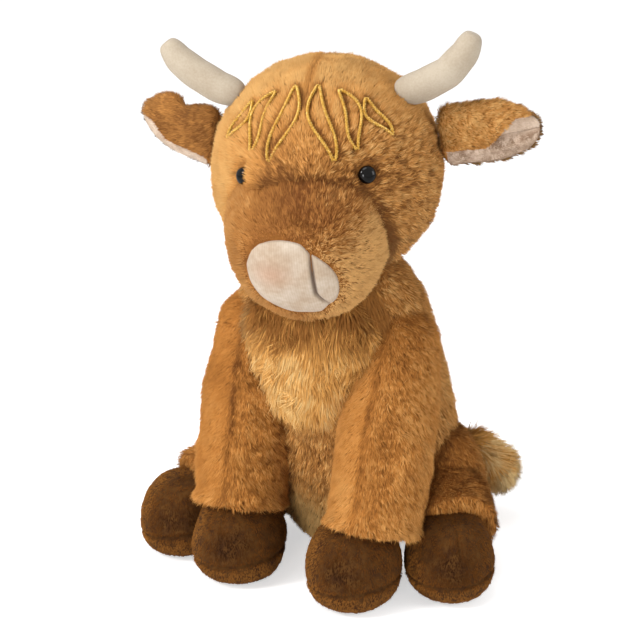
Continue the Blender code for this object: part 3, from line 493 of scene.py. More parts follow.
def limb(start, end, root_radius, radius, table):
    """Rings of a limb from its joint to its cuff: half a ball, a swelling tube and a flat end.
    Returns the ring function and one that tells whether points lie in the limb."""
    start = np.array(start)
    along = unit(np.array(end) - start)
    length = float(np.linalg.norm(np.array(end) - start))
    sideways = unit(np.array([1.0, 0, 0]) - along * along[0])
    front = np.cross(along, sideways)

    def ring(turn):
        """The ring at a turn: its middle and its two half axes."""
        angle = past(turn, 0, BALL_TURN) * np.pi / 2
        share = past(turn, BALL_TURN, CUFF_TURN - BALL_TURN)
        (swell,) = read_shares(table, share)
        ball = turn < BALL_TURN
        close = past(turn, 1, CUFF_TURN - 1)
        reach = np.where(ball, root_radius * np.sin(angle), swell * radius)
        reach = np.where(turn > CUFF_TURN, swell * radius * np.sqrt(close), reach)
        far = np.where(ball, -root_radius * np.cos(angle), share * length)
        far = far + np.where(turn > CUFF_TURN, CUFF_ROUND * (1 - close), 0)
        return start + along * far[..., None], sideways * reach[..., None], front * reach[..., None]

    def inside(points, grow=0.0):
        """Whether points lie in the limb."""
        far = (points - start) @ along
        angle = np.arccos(np.clip(-far / root_radius, 0, 1))
        turn = np.where(far < 0, BALL_TURN * angle / (np.pi / 2),
                        BALL_TURN + (CUFF_TURN - BALL_TURN) * past(far, 0, length))
        share = (far + root_radius + grow) / (length + root_radius + grow)
        return within(points, ring, turn, share, grow)

    return ring, inside, along, sideways, front


def front_leg_dent(side):
    """The surface of one front leg: lumps of filling, the seam down its front, a fuller hem, and a
    flatter side next to the belly."""
    along, sideways, front = front_legs[side][2:]
    shoulder, cuff = front_leg_ends[side]
    length = float(np.linalg.norm(cuff - shoulder))
    inward = -dict(SIDES)[side]

    def dent(points):
        """What one place on the leg moves outward."""
        away = points - shoulder
        down, across = away @ along, away @ sideways
        seam = bell((across, LEG_SEAM[1])) * ((away @ front) * front[1] > 0)
        hem = bell((down - length, LEG_HEM[1]))
        flat = past(inward * across, 0, FRONT_LEG_RADIUS) ** 1.5 * past(down, 0, LEG_FLAT_FROM)
        return stuffing(points, LEG_LUMPS, 111) - LEG_SEAM[0] * seam + LEG_HEM[0] * hem - LEG_FLAT * flat

    return dent


front_legs, front_leg_ends = {}, {}
for side, sign in SIDES:
    shoulder = np.array([sign * SHOULDER[0], SHOULDER[1], SHOULDER[2]])
    cuff = np.array([sign * FRONT_CUFF[0], FRONT_CUFF[1] - STEPS["front_" + side], FRONT_CUFF[2]])
    front_leg_ends[side] = (shoulder, cuff)
    front_legs[side] = limb(shoulder, cuff, SHOULDER_RADIUS, FRONT_LEG_RADIUS, FRONT_LEG_SHARES)
    leg_cloth = closed_form("front_leg_cloth_" + side, front_legs[side][0], CARAMEL_BACKING,
                            front_leg_dent(side))
    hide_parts("front_leg_" + side)
    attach(leg_cloth, "front_leg_" + side)

# Hind leg covers. Short stuffed legs that splay from the hips, with a fuller thigh that is a
# second form of the same cover.

HIP = (0.057, -0.002, 0.047)
HIP_RADIUS = 0.028
HIP_HALF_HEIGHT = 0.040
HIND_LEG_RADIUS = 0.0265
HIND_ROOT_RADIUS = HIND_LEG_RADIUS * 0.98
HIND_CUFF = (0.0815, -0.040, 0.035)
HIND_LEG_SHARES = ((0.0, 0.98), (0.5, 1.0), (1.0, 0.95))
HIND_LUMPS = (0.0008, 0.020, 0.008)


def thigh_ring(sign):
    """The thigh: level rings of an upright ball about the hip."""
    def ring(turn):
        """The ring at a turn: its middle and its two half axes."""
        reach = HIP_RADIUS * closing(turn, 1)
        return (stack(sign * HIP[0], HIP[1], HIP[2] - HIP_HALF_HEIGHT * np.cos(np.pi * turn)),
                stack(reach, 0, 0), stack(0, reach, 0))

    return ring


def in_thigh(points, sign, grow=0.0):
    """Whether points lie in a thigh's ball."""
    away = points - np.array([sign * HIP[0], HIP[1], HIP[2]])
    away = away / (np.array([HIP_RADIUS, HIP_RADIUS, HIP_HALF_HEIGHT]) + grow)
    return dot(away, away) < 1


def hind_dent(points):
    """The hind leg's surface: soft lumps of filling."""
    return stuffing(points, HIND_LUMPS, 121)


hind_legs = {}
for side, sign in SIDES:
    hip = (sign * HIP[0], HIP[1], HIP[2])
    cuff = (sign * HIND_CUFF[0], HIND_CUFF[1] - STEPS["hind_" + side], HIND_CUFF[2])
    hind_legs[side] = limb(hip, cuff, HIND_ROOT_RADIUS, HIND_LEG_RADIUS, HIND_LEG_SHARES)
    leg_cloth = closed_form("hind_leg_cloth_" + side, hind_legs[side][0], CARAMEL_BACKING, hind_dent)
    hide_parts("hind_leg_" + side)
    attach(leg_cloth, "hind_leg_" + side)
    thigh_cloth = closed_form("thigh_cloth_" + side, thigh_ring(sign), CARAMEL_BACKING, hind_dent)
    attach(thigh_cloth, "hind_leg_" + side)

# Hoof covers. Dark brown velour feet, round underneath, with a seam round the sole and a short
# one up the toe.

HOOF_HALF_WIDTH = 0.0288
HOOF_HALF_LENGTH = 0.0300
HOOF_HALF_HEIGHT = 0.0245
FRONT_HOOF = (0.0385, -0.082)
HIND_HOOF = (0.0870, -0.054)
HOOF_SHIFT = 0.003       # all four lie this far to the toy's right
HOOF_ENDS = (0.6, 0.52)
HOOF_SLIM = 0.12         # how much narrower it is at the top, as a share
HOOF_LEAN = 0.16         # how far its top lies back, as a share of its half length
HOOF_LUMPS = (0.0007, 0.016)            # height and size
HOOF_FULLER = {"front": 0.0006, "hind": -0.0010}   # how far the stuffed cover lies beyond its plain form
SOLE_SEAM = (0.0018, 0.050)             # its depth, and its half width as a share of the half height
SOLE_HEIGHT = (-0.36, 0.10, 0.10)       # shares of the half height: in the middle, its slope and its bow
TOE_SEAM = (0.0011, 0.035)              # its depth, and its half width as a share of the half width
TOE_START = (0.25, 0.2)                 # how far up it begins, and how soon it is deep


def hoof_ring(centre, facing):
    """A hoof: level rings that narrow and lie back a little as they rise."""
    centre = np.array(centre)
    facing = unit(np.array([facing[0], facing[1], 0.0]))
    sideways = np.array([facing[1], -facing[0], 0.0])

    def ring(turn):
        """The ring at a turn: its middle and its two half axes."""
        share = way(turn)
        out = closing(turn, np.where(share < 0.5, *HOOF_ENDS))
        slim = 1 - HOOF_SLIM * share
        back = facing * (HOOF_HALF_LENGTH * HOOF_LEAN * share)[..., None]
        return (centre + stack(0, 0, HOOF_HALF_HEIGHT * (2 * share - 1)) - back,
                sideways * (HOOF_HALF_WIDTH * slim * out)[..., None],
                facing * (HOOF_HALF_LENGTH * slim * out)[..., None])

    return ring


def in_hoof(points, ring, centre, grow=0.0):
    """Whether points lie in a hoof."""
    share = ((points[..., 2] - centre[2]) / (HOOF_HALF_HEIGHT + grow) + 1) / 2
    return within(points, ring, turn_at(share), share, grow)


def hoof_places(points, place, facing):
    """Points in a hoof's own terms: across, ahead and up from its middle, each a share of its size."""
    ahead = unit(np.array([facing[0], facing[1], 0.0]))
    away = points - np.array(place)
    return (away @ np.array([-ahead[1], ahead[0], 0.0]) / HOOF_HALF_WIDTH, away @ ahead / HOOF_HALF_LENGTH,
            away[..., 2] / HOOF_HALF_HEIGHT)


def sole_seam(across):
    """How high the sole's seam lies, higher at its ends, as a share of the hoof's half height."""
    middle, slope, bow = SOLE_HEIGHT
    return middle + slope * across + bow * across ** 2


def hoof_dent(place, facing, fuller):
    """The surface of one hoof."""
    def dent(points):
        """Lumps of filling, the sole's seam all round, low down, and a short seam up the toe."""
        across, ahead, up = hoof_places(points, place, facing)
        sole = bell((up - sole_seam(across), SOLE_SEAM[1]))
        toe = bell((across, TOE_SEAM[1])) * (ahead > 0) * past(up, *TOE_START)
        height, size = HOOF_LUMPS
        return height * lumps(points, size, 131) - SOLE_SEAM[0] * sole - TOE_SEAM[0] * toe + fuller

    return dent


HOOF_BACKING = backing("dark_velour_backing", "#3a210c", "#553615")
hooves = {}
for side, sign in SIDES:
    step = STEPS["front_" + side]
    hooves["front_" + side] = ((sign * FRONT_HOOF[0] - HOOF_SHIFT, FRONT_HOOF[1] - step, HOOF_HALF_HEIGHT),
                               (0.0, -1.0))
    step = STEPS["hind_" + side]
    hooves["hind_" + side] = ((sign * HIND_HOOF[0] - HOOF_SHIFT, HIND_HOOF[1] - step, HOOF_HALF_HEIGHT),
                              (sign * (HIND_CUFF[0] - HIP[0]), HIND_CUFF[1] - step - HIP[1]))
for key, (place, facing) in hooves.items():
    kind, side = key.split("_")
    hoof_cloth = closed_form(kind + "_hoof_cloth_" + side, hoof_ring(place, facing), HOOF_BACKING,
                             hoof_dent(place, facing, HOOF_FULLER[kind]))
    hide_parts(kind + "_hoof_" + side)
    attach(hoof_cloth, kind + "_leg_" + side)

# Chest ruff core. A bib let into the cover below the chin, that long pile stands on.

RUFF_HALF_WIDTH = 0.045
RUFF_HALF_HEIGHT = 0.047
RUFF_HALF_DEPTH = 0.020
RUFF_HEIGHT = 0.132
RUFF_FORWARD = 0.060
RUFF_NARROW = 0.35       # its width at the foot, as a share of that at the top
RUFF_END = 0.6


def ruff_ring(turn):
    """The ruff: level rings, wider towards the top, that follow the chest forward."""
    share = way(turn)
    narrow = RUFF_NARROW + (1 - RUFF_NARROW) * share
    out = closing(turn, RUFF_END)
    lean = RUFF_FORWARD + (share - 0.5) * BODY_LEAN / 2
    return (stack(0, -lean, RUFF_HEIGHT + (2 * share - 1) * RUFF_HALF_HEIGHT),
            stack(RUFF_HALF_WIDTH * narrow * out, 0, 0), stack(0, RUFF_HALF_DEPTH * out, 0))


def in_ruff(points, grow=0.0):
    """Whether points lie in the ruff."""
    share = ((points[..., 2] - RUFF_HEIGHT) / (RUFF_HALF_HEIGHT + grow) + 1) / 2
    return within(points, ruff_ring, turn_at(share), share, grow)


RUFF_BACKING = backing("long_pile_backing", "#7a5228", "#9a6c38")
ruff_cloth = closed_form("chest_ruff_cloth", ruff_ring, RUFF_BACKING)
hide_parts("chest_ruff")
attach(ruff_cloth, "torso")

# Torso pile. Dense polyester fibres about 5 mm long, knitted into the cover and combed down. In
# the render each tuft stands for a few dozen fibres, as wide as it needs to be to show.

PILE_LENGTH = 0.0050
PILE_WIDTH = 0.0009
WIDE_PILE = 0.0012       # the width of the tufts at the back, which are fewer
PILE_SINK = 0.0006       # how far a tuft's root lies under the cloth
FLOOR_GAP = 0.0004       # how near to the floor a tip may lie
TUFT_FACES = ((0, 1, 2), (1, 0, 3), (2, 1, 3), (0, 2, 3))
TUFT_RISE = (0.05, 0.05, 0.12, 0.98)    # its corners' places from root to tip
PRESSED = -0.002         # a tuft deeper than this in a neighbour is left off
CHEST = (0.040, 0.050)   # half width and half height of the long-haired chest
CHEST_MIDDLE = (0.004, 0.150)           # across and up
CHEST_EDGE = (1.15, 0.3)                # where the share of it ends, squared, and how softly
BODY_SPLIT = 0.01        # the torso's pile is one piece before this place and one behind it
BODY_TUFTS = 90000
FRONT_CROWD = 1.6        # how much denser the pile is where it is seen from near


def plush(name, root, dark, middle, light, sheen=0.25, gloss=0.25):
    """Polyester pile. Across the palette the fibres go from dark to light, along each one from the
    shaded root to the tip; matt, with the soft pale edge that fine fibres give."""
    material, tree = new_material(name)
    palette = add(tree, "UVMap", {"uv_map": "OFBake"})
    place = add(tree, "SeparateXYZ", None, {0: palette.outputs[0]})
    tone = add(tree, "ValToRGB", None, {0: place.outputs["X"]})
    spread(tone.color_ramp, ((0.0, dark), (0.5, middle), (1.0, light)))
    rise = add(tree, "MapRange", {"From Min": 0.0, "From Max": 0.55, "interpolation_type": "SMOOTHSTEP"},
               {"Value": place.outputs["Y"]})
    colour = add(tree, "Mix", {"data_type": "RGBA", 6: linear(root)},
                 {0: rise.outputs[0], 7: tone.outputs[0]})
    shader = add(tree, "BsdfPrincipled", {
        "Roughness": 0.85, "Specular IOR Level": gloss, "Sheen Weight": sheen, "Sheen Roughness": 0.45,
        "Sheen Tint": linear(light)}, {"Base Color": colour.outputs[2]})
    add(tree, "OutputMaterial", None, {"Surface": shader.outputs[0]})
    return material


def skin_at(ring, around, turn, dent=None):
    """Points of a form and the way out of it there: the cross product of two small steps."""
    step = 0.002
    points = carried(ring, around, turn, dent)
    along = carried(ring, around, turn + step, dent) - carried(ring, around, turn - step, dent)
    across = carried(ring, around + step, turn, dent) - carried(ring, around - step, turn, dent)
    out = unit(np.cross(across, along))
    side = np.sign(dot(out, points - ring(turn)[0]))
    return points, out * np.where(side == 0, 1, side)[..., None]


def sow(ring, count, seed, dent=None, first=0.004, last=0.996, crowd=None):
    """Places spread over a form: a cell of its grid is drawn by its area, times what crowd returns
    for its middle, then a place in it. Returns the points, the way out and the turn."""
    draw = np.random.default_rng(seed)
    rows, columns = 120, 180
    turn, around = np.meshgrid(np.linspace(first, last, rows + 1), np.linspace(0, 1, columns + 1),
                               indexing="ij")
    grid = carried(ring, around, turn, dent)
    area = np.linalg.norm(np.cross(grid[1:, :-1] - grid[:-1, :-1], grid[:-1, 1:] - grid[:-1, :-1]), axis=-1)
    if crowd is not None:
        area = area * crowd((grid[1:, 1:] + grid[:-1, :-1]) / 2)
    row, column = np.divmod(draw.choice(area.size, count, p=area.ravel() / area.sum()), columns)
    turn = first + (row + draw.random(count)) * (last - first) / rows
    around = (column + draw.random(count)) / columns
    points, out = skin_at(ring, around, turn, dent)
    return points, out, turn


def tufts(name, points, out, lie, material, tone, seed, length=PILE_LENGTH, width=PILE_WIDTH, lean=55,
          stray=0.32, clump=0.0048, mound=0.0004, ruffle=0.5):
    """Tufts of pile: each a closed three-sided spike, rooted under the cloth and leaning along the
    way it lies. Soft noise draws them into clumps: it turns the way they lie, raises and lengthens
    them and tilts their shading. Where the pile is ruffled, a finer noise does so more strongly.
    The palette place is the tone and the share from root to tip."""
    draw = np.random.default_rng(seed)
    count = len(points)
    ruffle = np.broadcast_to(ruffle, (count,))
    swirl, fine = lumps(points, clump * 1.5, seed + 1, 3), lumps(points, clump * 0.42, seed + 2, 3)
    height, curl = lumps(points, clump, seed + 3), lumps(points, clump * 0.36, seed + 5)
    drawn = stray * swirl + (0.12 + 0.75 * ruffle)[:, None] * fine
    lie = unit(lie) + drawn + draw.normal(0, 0.12, (count, 3))
    lie = unit(lie - out * dot(lie, out)[:, None])
    angle = np.radians(lean + 8 * lumps(points, clump, seed + 4) - 14 * ruffle * (0.5 + curl)
                       + draw.normal(0, 5, count))[:, None]
    way_on = out * np.cos(angle) + lie * np.sin(angle)
    across = unit(np.cross(out, way_on))
    size = (length * (0.78 + 0.38 * draw.random(count)) * (1 + 0.18 * height))[:, None]
    half = (width * (0.7 + 0.6 * draw.random(count)) / 2)[:, None]
    root = points + out * (mound * (height + 1.3 * ruffle * curl) - PILE_SINK)[:, None]
    beside = across * half
    corners = np.stack([root + beside, root - beside, root + out * half * 0.9, root + way_on * size], 1)
    corners[..., 2] = np.maximum(corners[..., 2], FLOOR_GAP)
    shade = unit(out + 0.30 * swirl + (0.10 + 0.60 * ruffle)[:, None] * fine)
    split = across * (0.30 + 0.55 * ruffle)[:, None]
    own = np.stack([unit(shade + split), unit(shade - split), shade, unit(shade + 0.25 * way_on)], 1)
    faces = ((np.arange(count) * 4)[:, None, None] + np.array(TUFT_FACES)).reshape(-1, 3)
    # painted shade in the clumps: tufts that the noise sinks are darker, those it raises lighter; ruffled pile
    # is a little darker
    tone = tone + 0.08 * height + ruffle * (0.44 * curl - 0.08)
    tone = tone + draw.normal(0, 1, count) * (0.05 + 0.15 * ruffle)
    palette = np.stack([np.repeat(np.clip(tone, 0.01, 0.99), 4), np.tile(TUFT_RISE, count)], -1)
    return put_mesh(name, corners.reshape(-1, 3), faces, material, palette, own.reshape(-1, 3))


def hidden_by_limbs(points, grow=PRESSED):
    """Whether points lie in a leg or a thigh."""
    hidden = np.zeros(len(points), dtype=bool)
    for side, sign in SIDES:
        hidden |= front_legs[side][1](points, grow) | hind_legs[side][1](points, grow)
        hidden |= in_thigh(points, sign, grow)
    return hidden


def nearness(points, inside, far):
    """How near points are to a form, from 0 at a distance to 1 at its skin: the share of four
    growths of the form that hold them."""
    return sum(inside(points, far * part / 4) + 0.0 for part in (1, 2, 3, 4)) / 4


def chest_share(points):
    """How far places on the torso's front belong to the long-haired chest: 1 inside an oval, 0
    outside it and on the back."""
    x, y, z = np.moveaxis(points, -1, 0)
    far = ((x - CHEST_MIDDLE[0]) / CHEST[0]) ** 2 + ((z - CHEST_MIDDLE[1]) / CHEST[1]) ** 2
    return past(far, CHEST_EDGE[0], -CHEST_EDGE[1]) * (y < -0.020)


CARAMEL_PILE = plush("caramel_plush_pile", "#6e431b", "#6f4219", "#cb8c47", "#e8b873")
points, out, _turn = sow(body_ring, BODY_TUFTS, 21, body_dent,
                         crowd=lambda place: np.where(place[..., 1] < BODY_SPLIT, FRONT_CROWD, 1.0))
draw = np.random.default_rng(20)
keep = ~(hidden_by_limbs(points, -0.007) | in_head(points, -0.001) | in_ruff(points, PRESSED))
keep &= points[:, 2] >= 0.003
keep &= draw.random(len(points)) > chest_share(points)
points, out = points[keep], out[keep]
height = points[:, 2]
tone = 0.50 + 0.12 * lumps(points, 0.020, 22)
# painted shade beside the legs and thighs, and painted light low on the belly's front between the legs
tone = tone - 0.14 * hidden_by_limbs(points, 0.0035) * past(height, 0.135, -0.02)
tone = tone + 0.62 * past(height, 0.055, -0.03) * (points[:, 1] < -0.02)
before = points[:, 1] < BODY_SPLIT
for name, part, width in (("body_front_pile", before, PILE_WIDTH), ("body_back_pile", ~before, WIDE_PILE)):
    down = np.array([0.0, 0.0, -1.0]) + 0 * points[part]
    body_pile = tufts(name, points[part], out[part], down, CARAMEL_PILE, tone[part], 24, width=width,
                      ruffle=0.75)
    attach(body_pile, "torso")

# Forehead locks. Gold thread stitched in leaf outlines, each line two threads twisted together and
# drawn down into the pile. The thread is polyester with a shine, so it glints where it turns.

LOCK_ANGLES = (          # degrees: across and up where a leaf starts and ends, its bow and its width
    (9.5, 56.0, 13.5, 16.0, 3.0, 4.6), (26.0, 52.0, 31.0, 21.0, -3.0, 4.4),
    (42.0, 45.0, 47.0, 24.0, 2.5, 3.6),
)
LOCK_STEPS = 60          # points along each side of a leaf
THREAD_RADIUS = 0.00054
THREAD_PITCH = 0.0030
THREAD_RISE = 0.0019     # how far the thread lies over the cloth
THREAD_STEP = 0.00045    # from ring to ring along a thread
THREAD_FIBRE = 1 / 1500  # 0.7 mm, the mottle of its fibres, coarser than the real one so that it shows
GOLD_THREAD, tree = new_material("gold_twisted_thread")
place = add(tree, "TexCoord")
fibre = add(tree, "TexNoise", {"Scale": 1 / THREAD_FIBRE, "Detail": 3.0}, {"Vector": place.outputs["Object"]})
tone = add(tree, "ValToRGB", None, {0: fibre.outputs[0]})
spread(tone.color_ramp, ((0.3, "#8a5c10"), (0.48, "#cf9a2c"), (0.72, "#f8df86")))
shader = add(tree, "BsdfPrincipled", {"Roughness": 0.32, "Metallic": 0.15}, {"Base Color": tone.outputs[0]})
add(tree, "OutputMaterial", None, {"Surface": shader.outputs[0]})


def lock_outline(start_across, start_up, end_across, end_up, bow, width, steps):
    """Angles round one forehead lock: down one side of a bowed leaf, round its tip, up the other."""
    run = math.hypot(end_across - start_across, end_up - start_up)
    across_unit, up_unit = (end_up - start_up) / run, -(end_across - start_across) / run
    part = np.concatenate([np.linspace(0, 1, steps), np.linspace(1, 0, steps)])
    edge = np.repeat([1.0, -1.0], steps)
    off = bow * np.sin(1.6 * np.pi * part) + edge * width * (0.16 + np.sin(np.pi * part ** 0.8))
    return (start_across + (end_across - start_across) * part + across_unit * off,
            start_up + (end_up - start_up) * part + up_unit * off)


def twisted(line, out, phase, sides=6):
    """One thread of two: a tube round a line, off its middle by its own radius, the offset turning
    once a pitch; line and out are closed loops of points."""
    along = unit(np.roll(line, -1, axis=0) - np.roll(line, 1, axis=0))
    out = unit(out - along * dot(out, along)[:, None])
    beside = np.cross(along, out)
    far = np.cumsum(np.linalg.norm(line - np.roll(line, 1, axis=0), axis=-1))
    turns = max(1, round(far[-1] / THREAD_PITCH))
    angle = (far / far[-1] * turns * 2 * np.pi + phase)[:, None]
    middle = line + THREAD_RADIUS * (out * np.cos(angle) + beside * np.sin(angle))
    round_angle = (np.arange(sides) * 2 * np.pi / sides)[None, :, None]
    around = out[:, None] * np.cos(round_angle) + beside[:, None] * np.sin(round_angle)
    tube = middle[:, None] + THREAD_RADIUS * around
    row, column = np.meshgrid(np.arange(len(line)), np.arange(sides), indexing="ij")
    here, beside_it = row * sides + column, row * sides + (column + 1) % sides
    next_row = (row + 1) % len(line)
    over, over_it = next_row * sides + column, next_row * sides + (column + 1) % sides
    faces = np.stack([here, beside_it, over_it, here, over_it, over], -1).reshape(-1, 3)
    return tube.reshape(-1, 3), faces


def even_loop(values, far, even):
    """A closed loop's values, read again at even lengths along it."""
    return np.stack([np.interp(even, far, np.append(values[:, k], values[0, k])) for k in range(3)], -1)


lock_lines = []
for side, sign in SIDES:
    for angles in LOCK_ANGLES:
        across, up = lock_outline(*angles, LOCK_STEPS)
        place, out_way = head_surface(sign * across, up)
        lock_lines.append(place)
        line = place + out_way * THREAD_RISE
        apart = np.linalg.norm(line - np.roll(line, 1, axis=0), axis=-1) > 1e-6
        line, out_way = line[apart], out_way[apart]
        steps = np.linalg.norm(np.roll(line, -1, axis=0) - line, axis=-1)
        far = np.append(0, np.cumsum(steps))
        even = np.linspace(0, far[-1], int(far[-1] / THREAD_STEP), endpoint=False)
        line, out_way = from_head(even_loop(line, far, even)), even_loop(out_way, far, even) @ HEAD_WAY.T
        first, first_faces = twisted(line, unit(out_way), 0.0)
        second, second_faces = twisted(line, unit(out_way), math.pi)
        lock = put_mesh("stitched_lock_%d" % len(lock_lines), np.concatenate([first, second]),
                        np.concatenate([first_faces, second_faces + len(first)]), GOLD_THREAD)
        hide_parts("forehead_lock_%d" % len(lock_lines))
        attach(lock, "head")

# Head pile. The same plush, brushed back from the muzzle, short round the eyes and pressed down
# along the stitched lines.

GROOVE = 0.0030          # how far from a stitched line the pile is pressed down
THREAD_GAP = 0.0006      # nearer than this no tuft stands
EYE_CLEAR = 0.0045       # how far from an eye the pile is whole again
HEAD_SPLIT = 0.010       # the face's pile is in front of this place, the denser one
HEAD_TUFTS = 110000
FACE_CROWD = 1.9
FACE_PILE = 0.0008       # width of the face's tufts
BRUSHED_FROM = np.array([0, -0.062, -0.020])       # in the head's frame, inside the muzzle


def near_lines(own, lines, batch=20000):
    """The least distance from each point to the stitched lines' points, a batch at a time."""
    least = np.full(len(own), 1.0)
    for line in lines:
        for first in range(0, len(own), batch):
            part = slice(first, first + batch)
            gap = np.linalg.norm(own[part, None, :] - line[None], axis=-1).min(axis=1)
            least[part] = np.minimum(least[part], gap)
    return least


def head_crowd(place):
    """The face carries more tufts than the back of the head, which is seen from further off."""
    return np.where(to_head(place)[..., 1] < HEAD_SPLIT, FACE_CROWD, 1.0)


points, out, _turn = sow(head_ring, HEAD_TUFTS, 41, head_dent, crowd=head_crowd)
own = to_head(points)
keep = ~(in_muzzle(points, -0.001) | in_body(points, PRESSED))
for place, _out in eye_places.values():
    keep &= np.linalg.norm(own - place, axis=-1) > EYE_RADIUS * 0.95
points, out, own = points[keep], out[keep], own[keep]
gap = near_lines(own, lock_lines)
keep = gap > THREAD_GAP
points, out, own, gap = points[keep], out[keep], own[keep], gap[keep]
across, behind, up = own.T
# painted shade in the grooves and over the bridge, painted light on the crown and on the far side
pressed = 1 - past(gap, 0, GROOVE)
length = PILE_LENGTH * (1 - 0.62 * pressed)
tone = 0.57 + 0.12 * lumps(points, 0.018, 42) - 0.85 * pressed
tone = tone - 0.22 * bell((across + 0.004, 0.030), (up - 0.008, 0.016))
tone = tone + 0.12 * past(up, 0.030, 0.02) + 0.10 * past(across, -0.018, -0.01)
# ruffled on the near cheek and between the eyes, smooth on the crown and on the far cheek
ruffle = past(across, -0.012, 0.035) * np.maximum(past(up, 0.050, -0.03), 0.15)
ruffle = np.maximum(ruffle, 0.8 * bell((across - 0.004, 0.028), (up - 0.010, 0.020)))
ruffle = np.where(behind > 0, 0.35, ruffle)
# short round the eyes, but for the long pile that half covers the far one; darker round each eye, painted shade
for place, _out in eye_places.values():
    beside = past(np.linalg.norm(own - place, axis=-1), EYE_RADIUS, EYE_CLEAR)
    covering = (place[0] < 0) & (across > place[0] + 0.002)
    length = np.where(covering, length, np.minimum(length, PILE_LENGTH * (0.3 + 0.7 * beside)))
    tone = tone - 0.5 * (1 - beside)
# painted shade where the muzzle and the neck are sewn on, along the crown's seam and low on the near cheek
crease = 0.30 + 0.60 * past(across, 0.012, 0.012)
tone = tone - crease * nearness(points, in_muzzle, 0.0055) - 0.22 * in_body(points, 0.004)
tone = tone - 0.15 * past(across, 0.020, 0.01) * past(up, 0.030, -0.02)
tone = tone - 0.35 * bell((across, 0.0025)) * past(up, *CROWN_START)
lie = unit(own - BRUSHED_FROM) @ HEAD_WAY.T + np.array([0, 0, -0.25])
face = behind < HEAD_SPLIT
for side, half in (("left", across >= 0), ("right", across < 0)):
    for end, part, width in (("_front", half & face, FACE_PILE), ("_back", half & ~face, WIDE_PILE)):
        head_pile = tufts("head_" + side + "_pile" + end, points[part], out[part], lie[part], CARAMEL_PILE,
                          tone[part], 43, length[part], width=width, ruffle=ruffle[part])
        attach(head_pile, "head")

# Muzzle pile. Browner plush, darkest over the top and paler at the sides, brushed back from the
# nose, whose cloth is let into it.

NOSE_CENTRE = (-0.0055, -0.044)
NOSE_HALF_WIDTH = 0.0245
NOSE_HALF_HEIGHT = 0.0215
MUZZLE_TUFTS = 69000
MUZZLE_PILE_LENGTH = 0.0044
NOSE_OUTLINE = (         # across and up, as shares
    (-1.00, 0.13), (-0.98, 0.58), (-0.89, 0.90), (-0.56, 1.02), (0.30, 1.00), (0.47, 0.78), (0.75, 0.55),
    (0.98, 0.13), (1.00, -0.16), (0.90, -0.55), (0.68, -0.76), (0.50, -0.96), (0.12, -1.00), (-0.26, -0.93),
    (-0.63, -0.66), (-0.92, -0.24),
)


def nose_reach(angle):
    """The nose cloth's edge from its middle, as a share, at an angle: its corners joined smoothly."""
    corners = np.array(NOSE_OUTLINE)
    angles = np.arctan2(corners[:, 1], corners[:, 0])
    order = np.argsort(angles)
    reach = np.hypot(corners[:, 0], corners[:, 1])[order]
    angles = angles[order]
    round_again = np.concatenate([angles - 2 * np.pi, angles, angles + 2 * np.pi])
    return np.interp(angle, round_again, np.tile(reach, 3))


def nose_part(own):
    """How far points of the head's frame lie from the nose cloth's middle, as a share of the way to
    its edge; 9 on the muzzle's back half."""
    across = (own[..., 0] - NOSE_CENTRE[0]) / NOSE_HALF_WIDTH
    up = (own[..., 2] - NOSE_CENTRE[1]) / NOSE_HALF_HEIGHT
    part = np.hypot(across, up) / nose_reach(np.arctan2(up, across))
    return np.where((own - MUZZLE_MIDDLE) @ MUZZLE_ALONG > 0, part, 9.0)


BROWN_PILE = plush("brown_plush_pile", "#5f3412", "#713f15", "#ad7236", "#dca866")
points, out, _turn = sow(muzzle_ring, MUZZLE_TUFTS, 63, muzzle_dent)
own = to_head(points)
keep = ~in_head(points, -0.001) & (nose_part(own) > 0.98)
points, out, own = points[keep], out[keep], own[keep]
lie = -(MUZZLE_ALONG @ HEAD_WAY.T) + np.array([0, 0, -0.15]) + 0.0 * points
across, up = (own - MUZZLE_MIDDLE)[:, 0], (own - MUZZLE_MIDDLE) @ MUZZLE_UP
over_top = bell((across - 0.004, 0.024)) * past(up, 0, 0.030)
tone = 0.54 - 0.26 * over_top + 0.12 * lumps(points, 0.014, 64)
ruffle = 0.80 * np.maximum(past(across, -0.020, 0.036), 0.12)
tone = tone + 0.56 * past(across, 0, 0.014) * past(up, 0.034, -0.02)
# painted shade where the muzzle meets the head; darker also near the nose's edge
tone = tone - 0.28 * nearness(points, in_head, 0.005) - 0.2 * past(nose_part(own), 1.12, -0.14)
length = MUZZLE_PILE_LENGTH * np.clip((nose_part(own) - 0.90) * 3.0, 0.35, 1.0)
muzzle_pile = tufts("muzzle_pile", points, out, lie, BROWN_PILE, tone, 66, length, width=FACE_PILE,
                    clump=0.0040, ruffle=ruffle)
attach(muzzle_pile, "head")

# Nose. A patch of pale brushed knit let into the muzzle, padded, with a crease that curves down
# beside its fuller right side.

NOSE_RIB = 0.0013        # spacing of the knit's ribs, wider than the real 0.7 mm so that they show
NOSE_MAP = 0.06          # the width that its map spans
NOSE_RINGS = 70
NOSE_SPOKES = 180
NOSE_RISE = (0.0006, 0.0020, 0.0008)    # height of the patch's edge, of its pad, and of its fuller side
NOSE_SUNK = 0.0010       # how far its back lies under the muzzle's surface
NOSE_LUMPS = (0.0004, 0.008)            # height and size
NOSE_CREASE = (0.0026, 0.0011)          # depth and half width
NOSE_CREASE_AT = (0.0124, 0.0062)       # how far across it lies, and how far it curves on low down
NOSE_FLUFF = 1 / 420     # 2.4 mm, the brushed tufts of the knit
NOSE_CLOUD = 1 / 90      # 11 mm, the unevenness of its nap
SMALL_STEP = 0.0008      # between the places that the way out of the muzzle is read from
NOSE_KNIT, tree = new_material("pale_brushed_knit")
place = add(tree, "UVMap", {"uv_map": "OFBake"})
apart = add(tree, "SeparateXYZ", None, {0: place.outputs[0]})
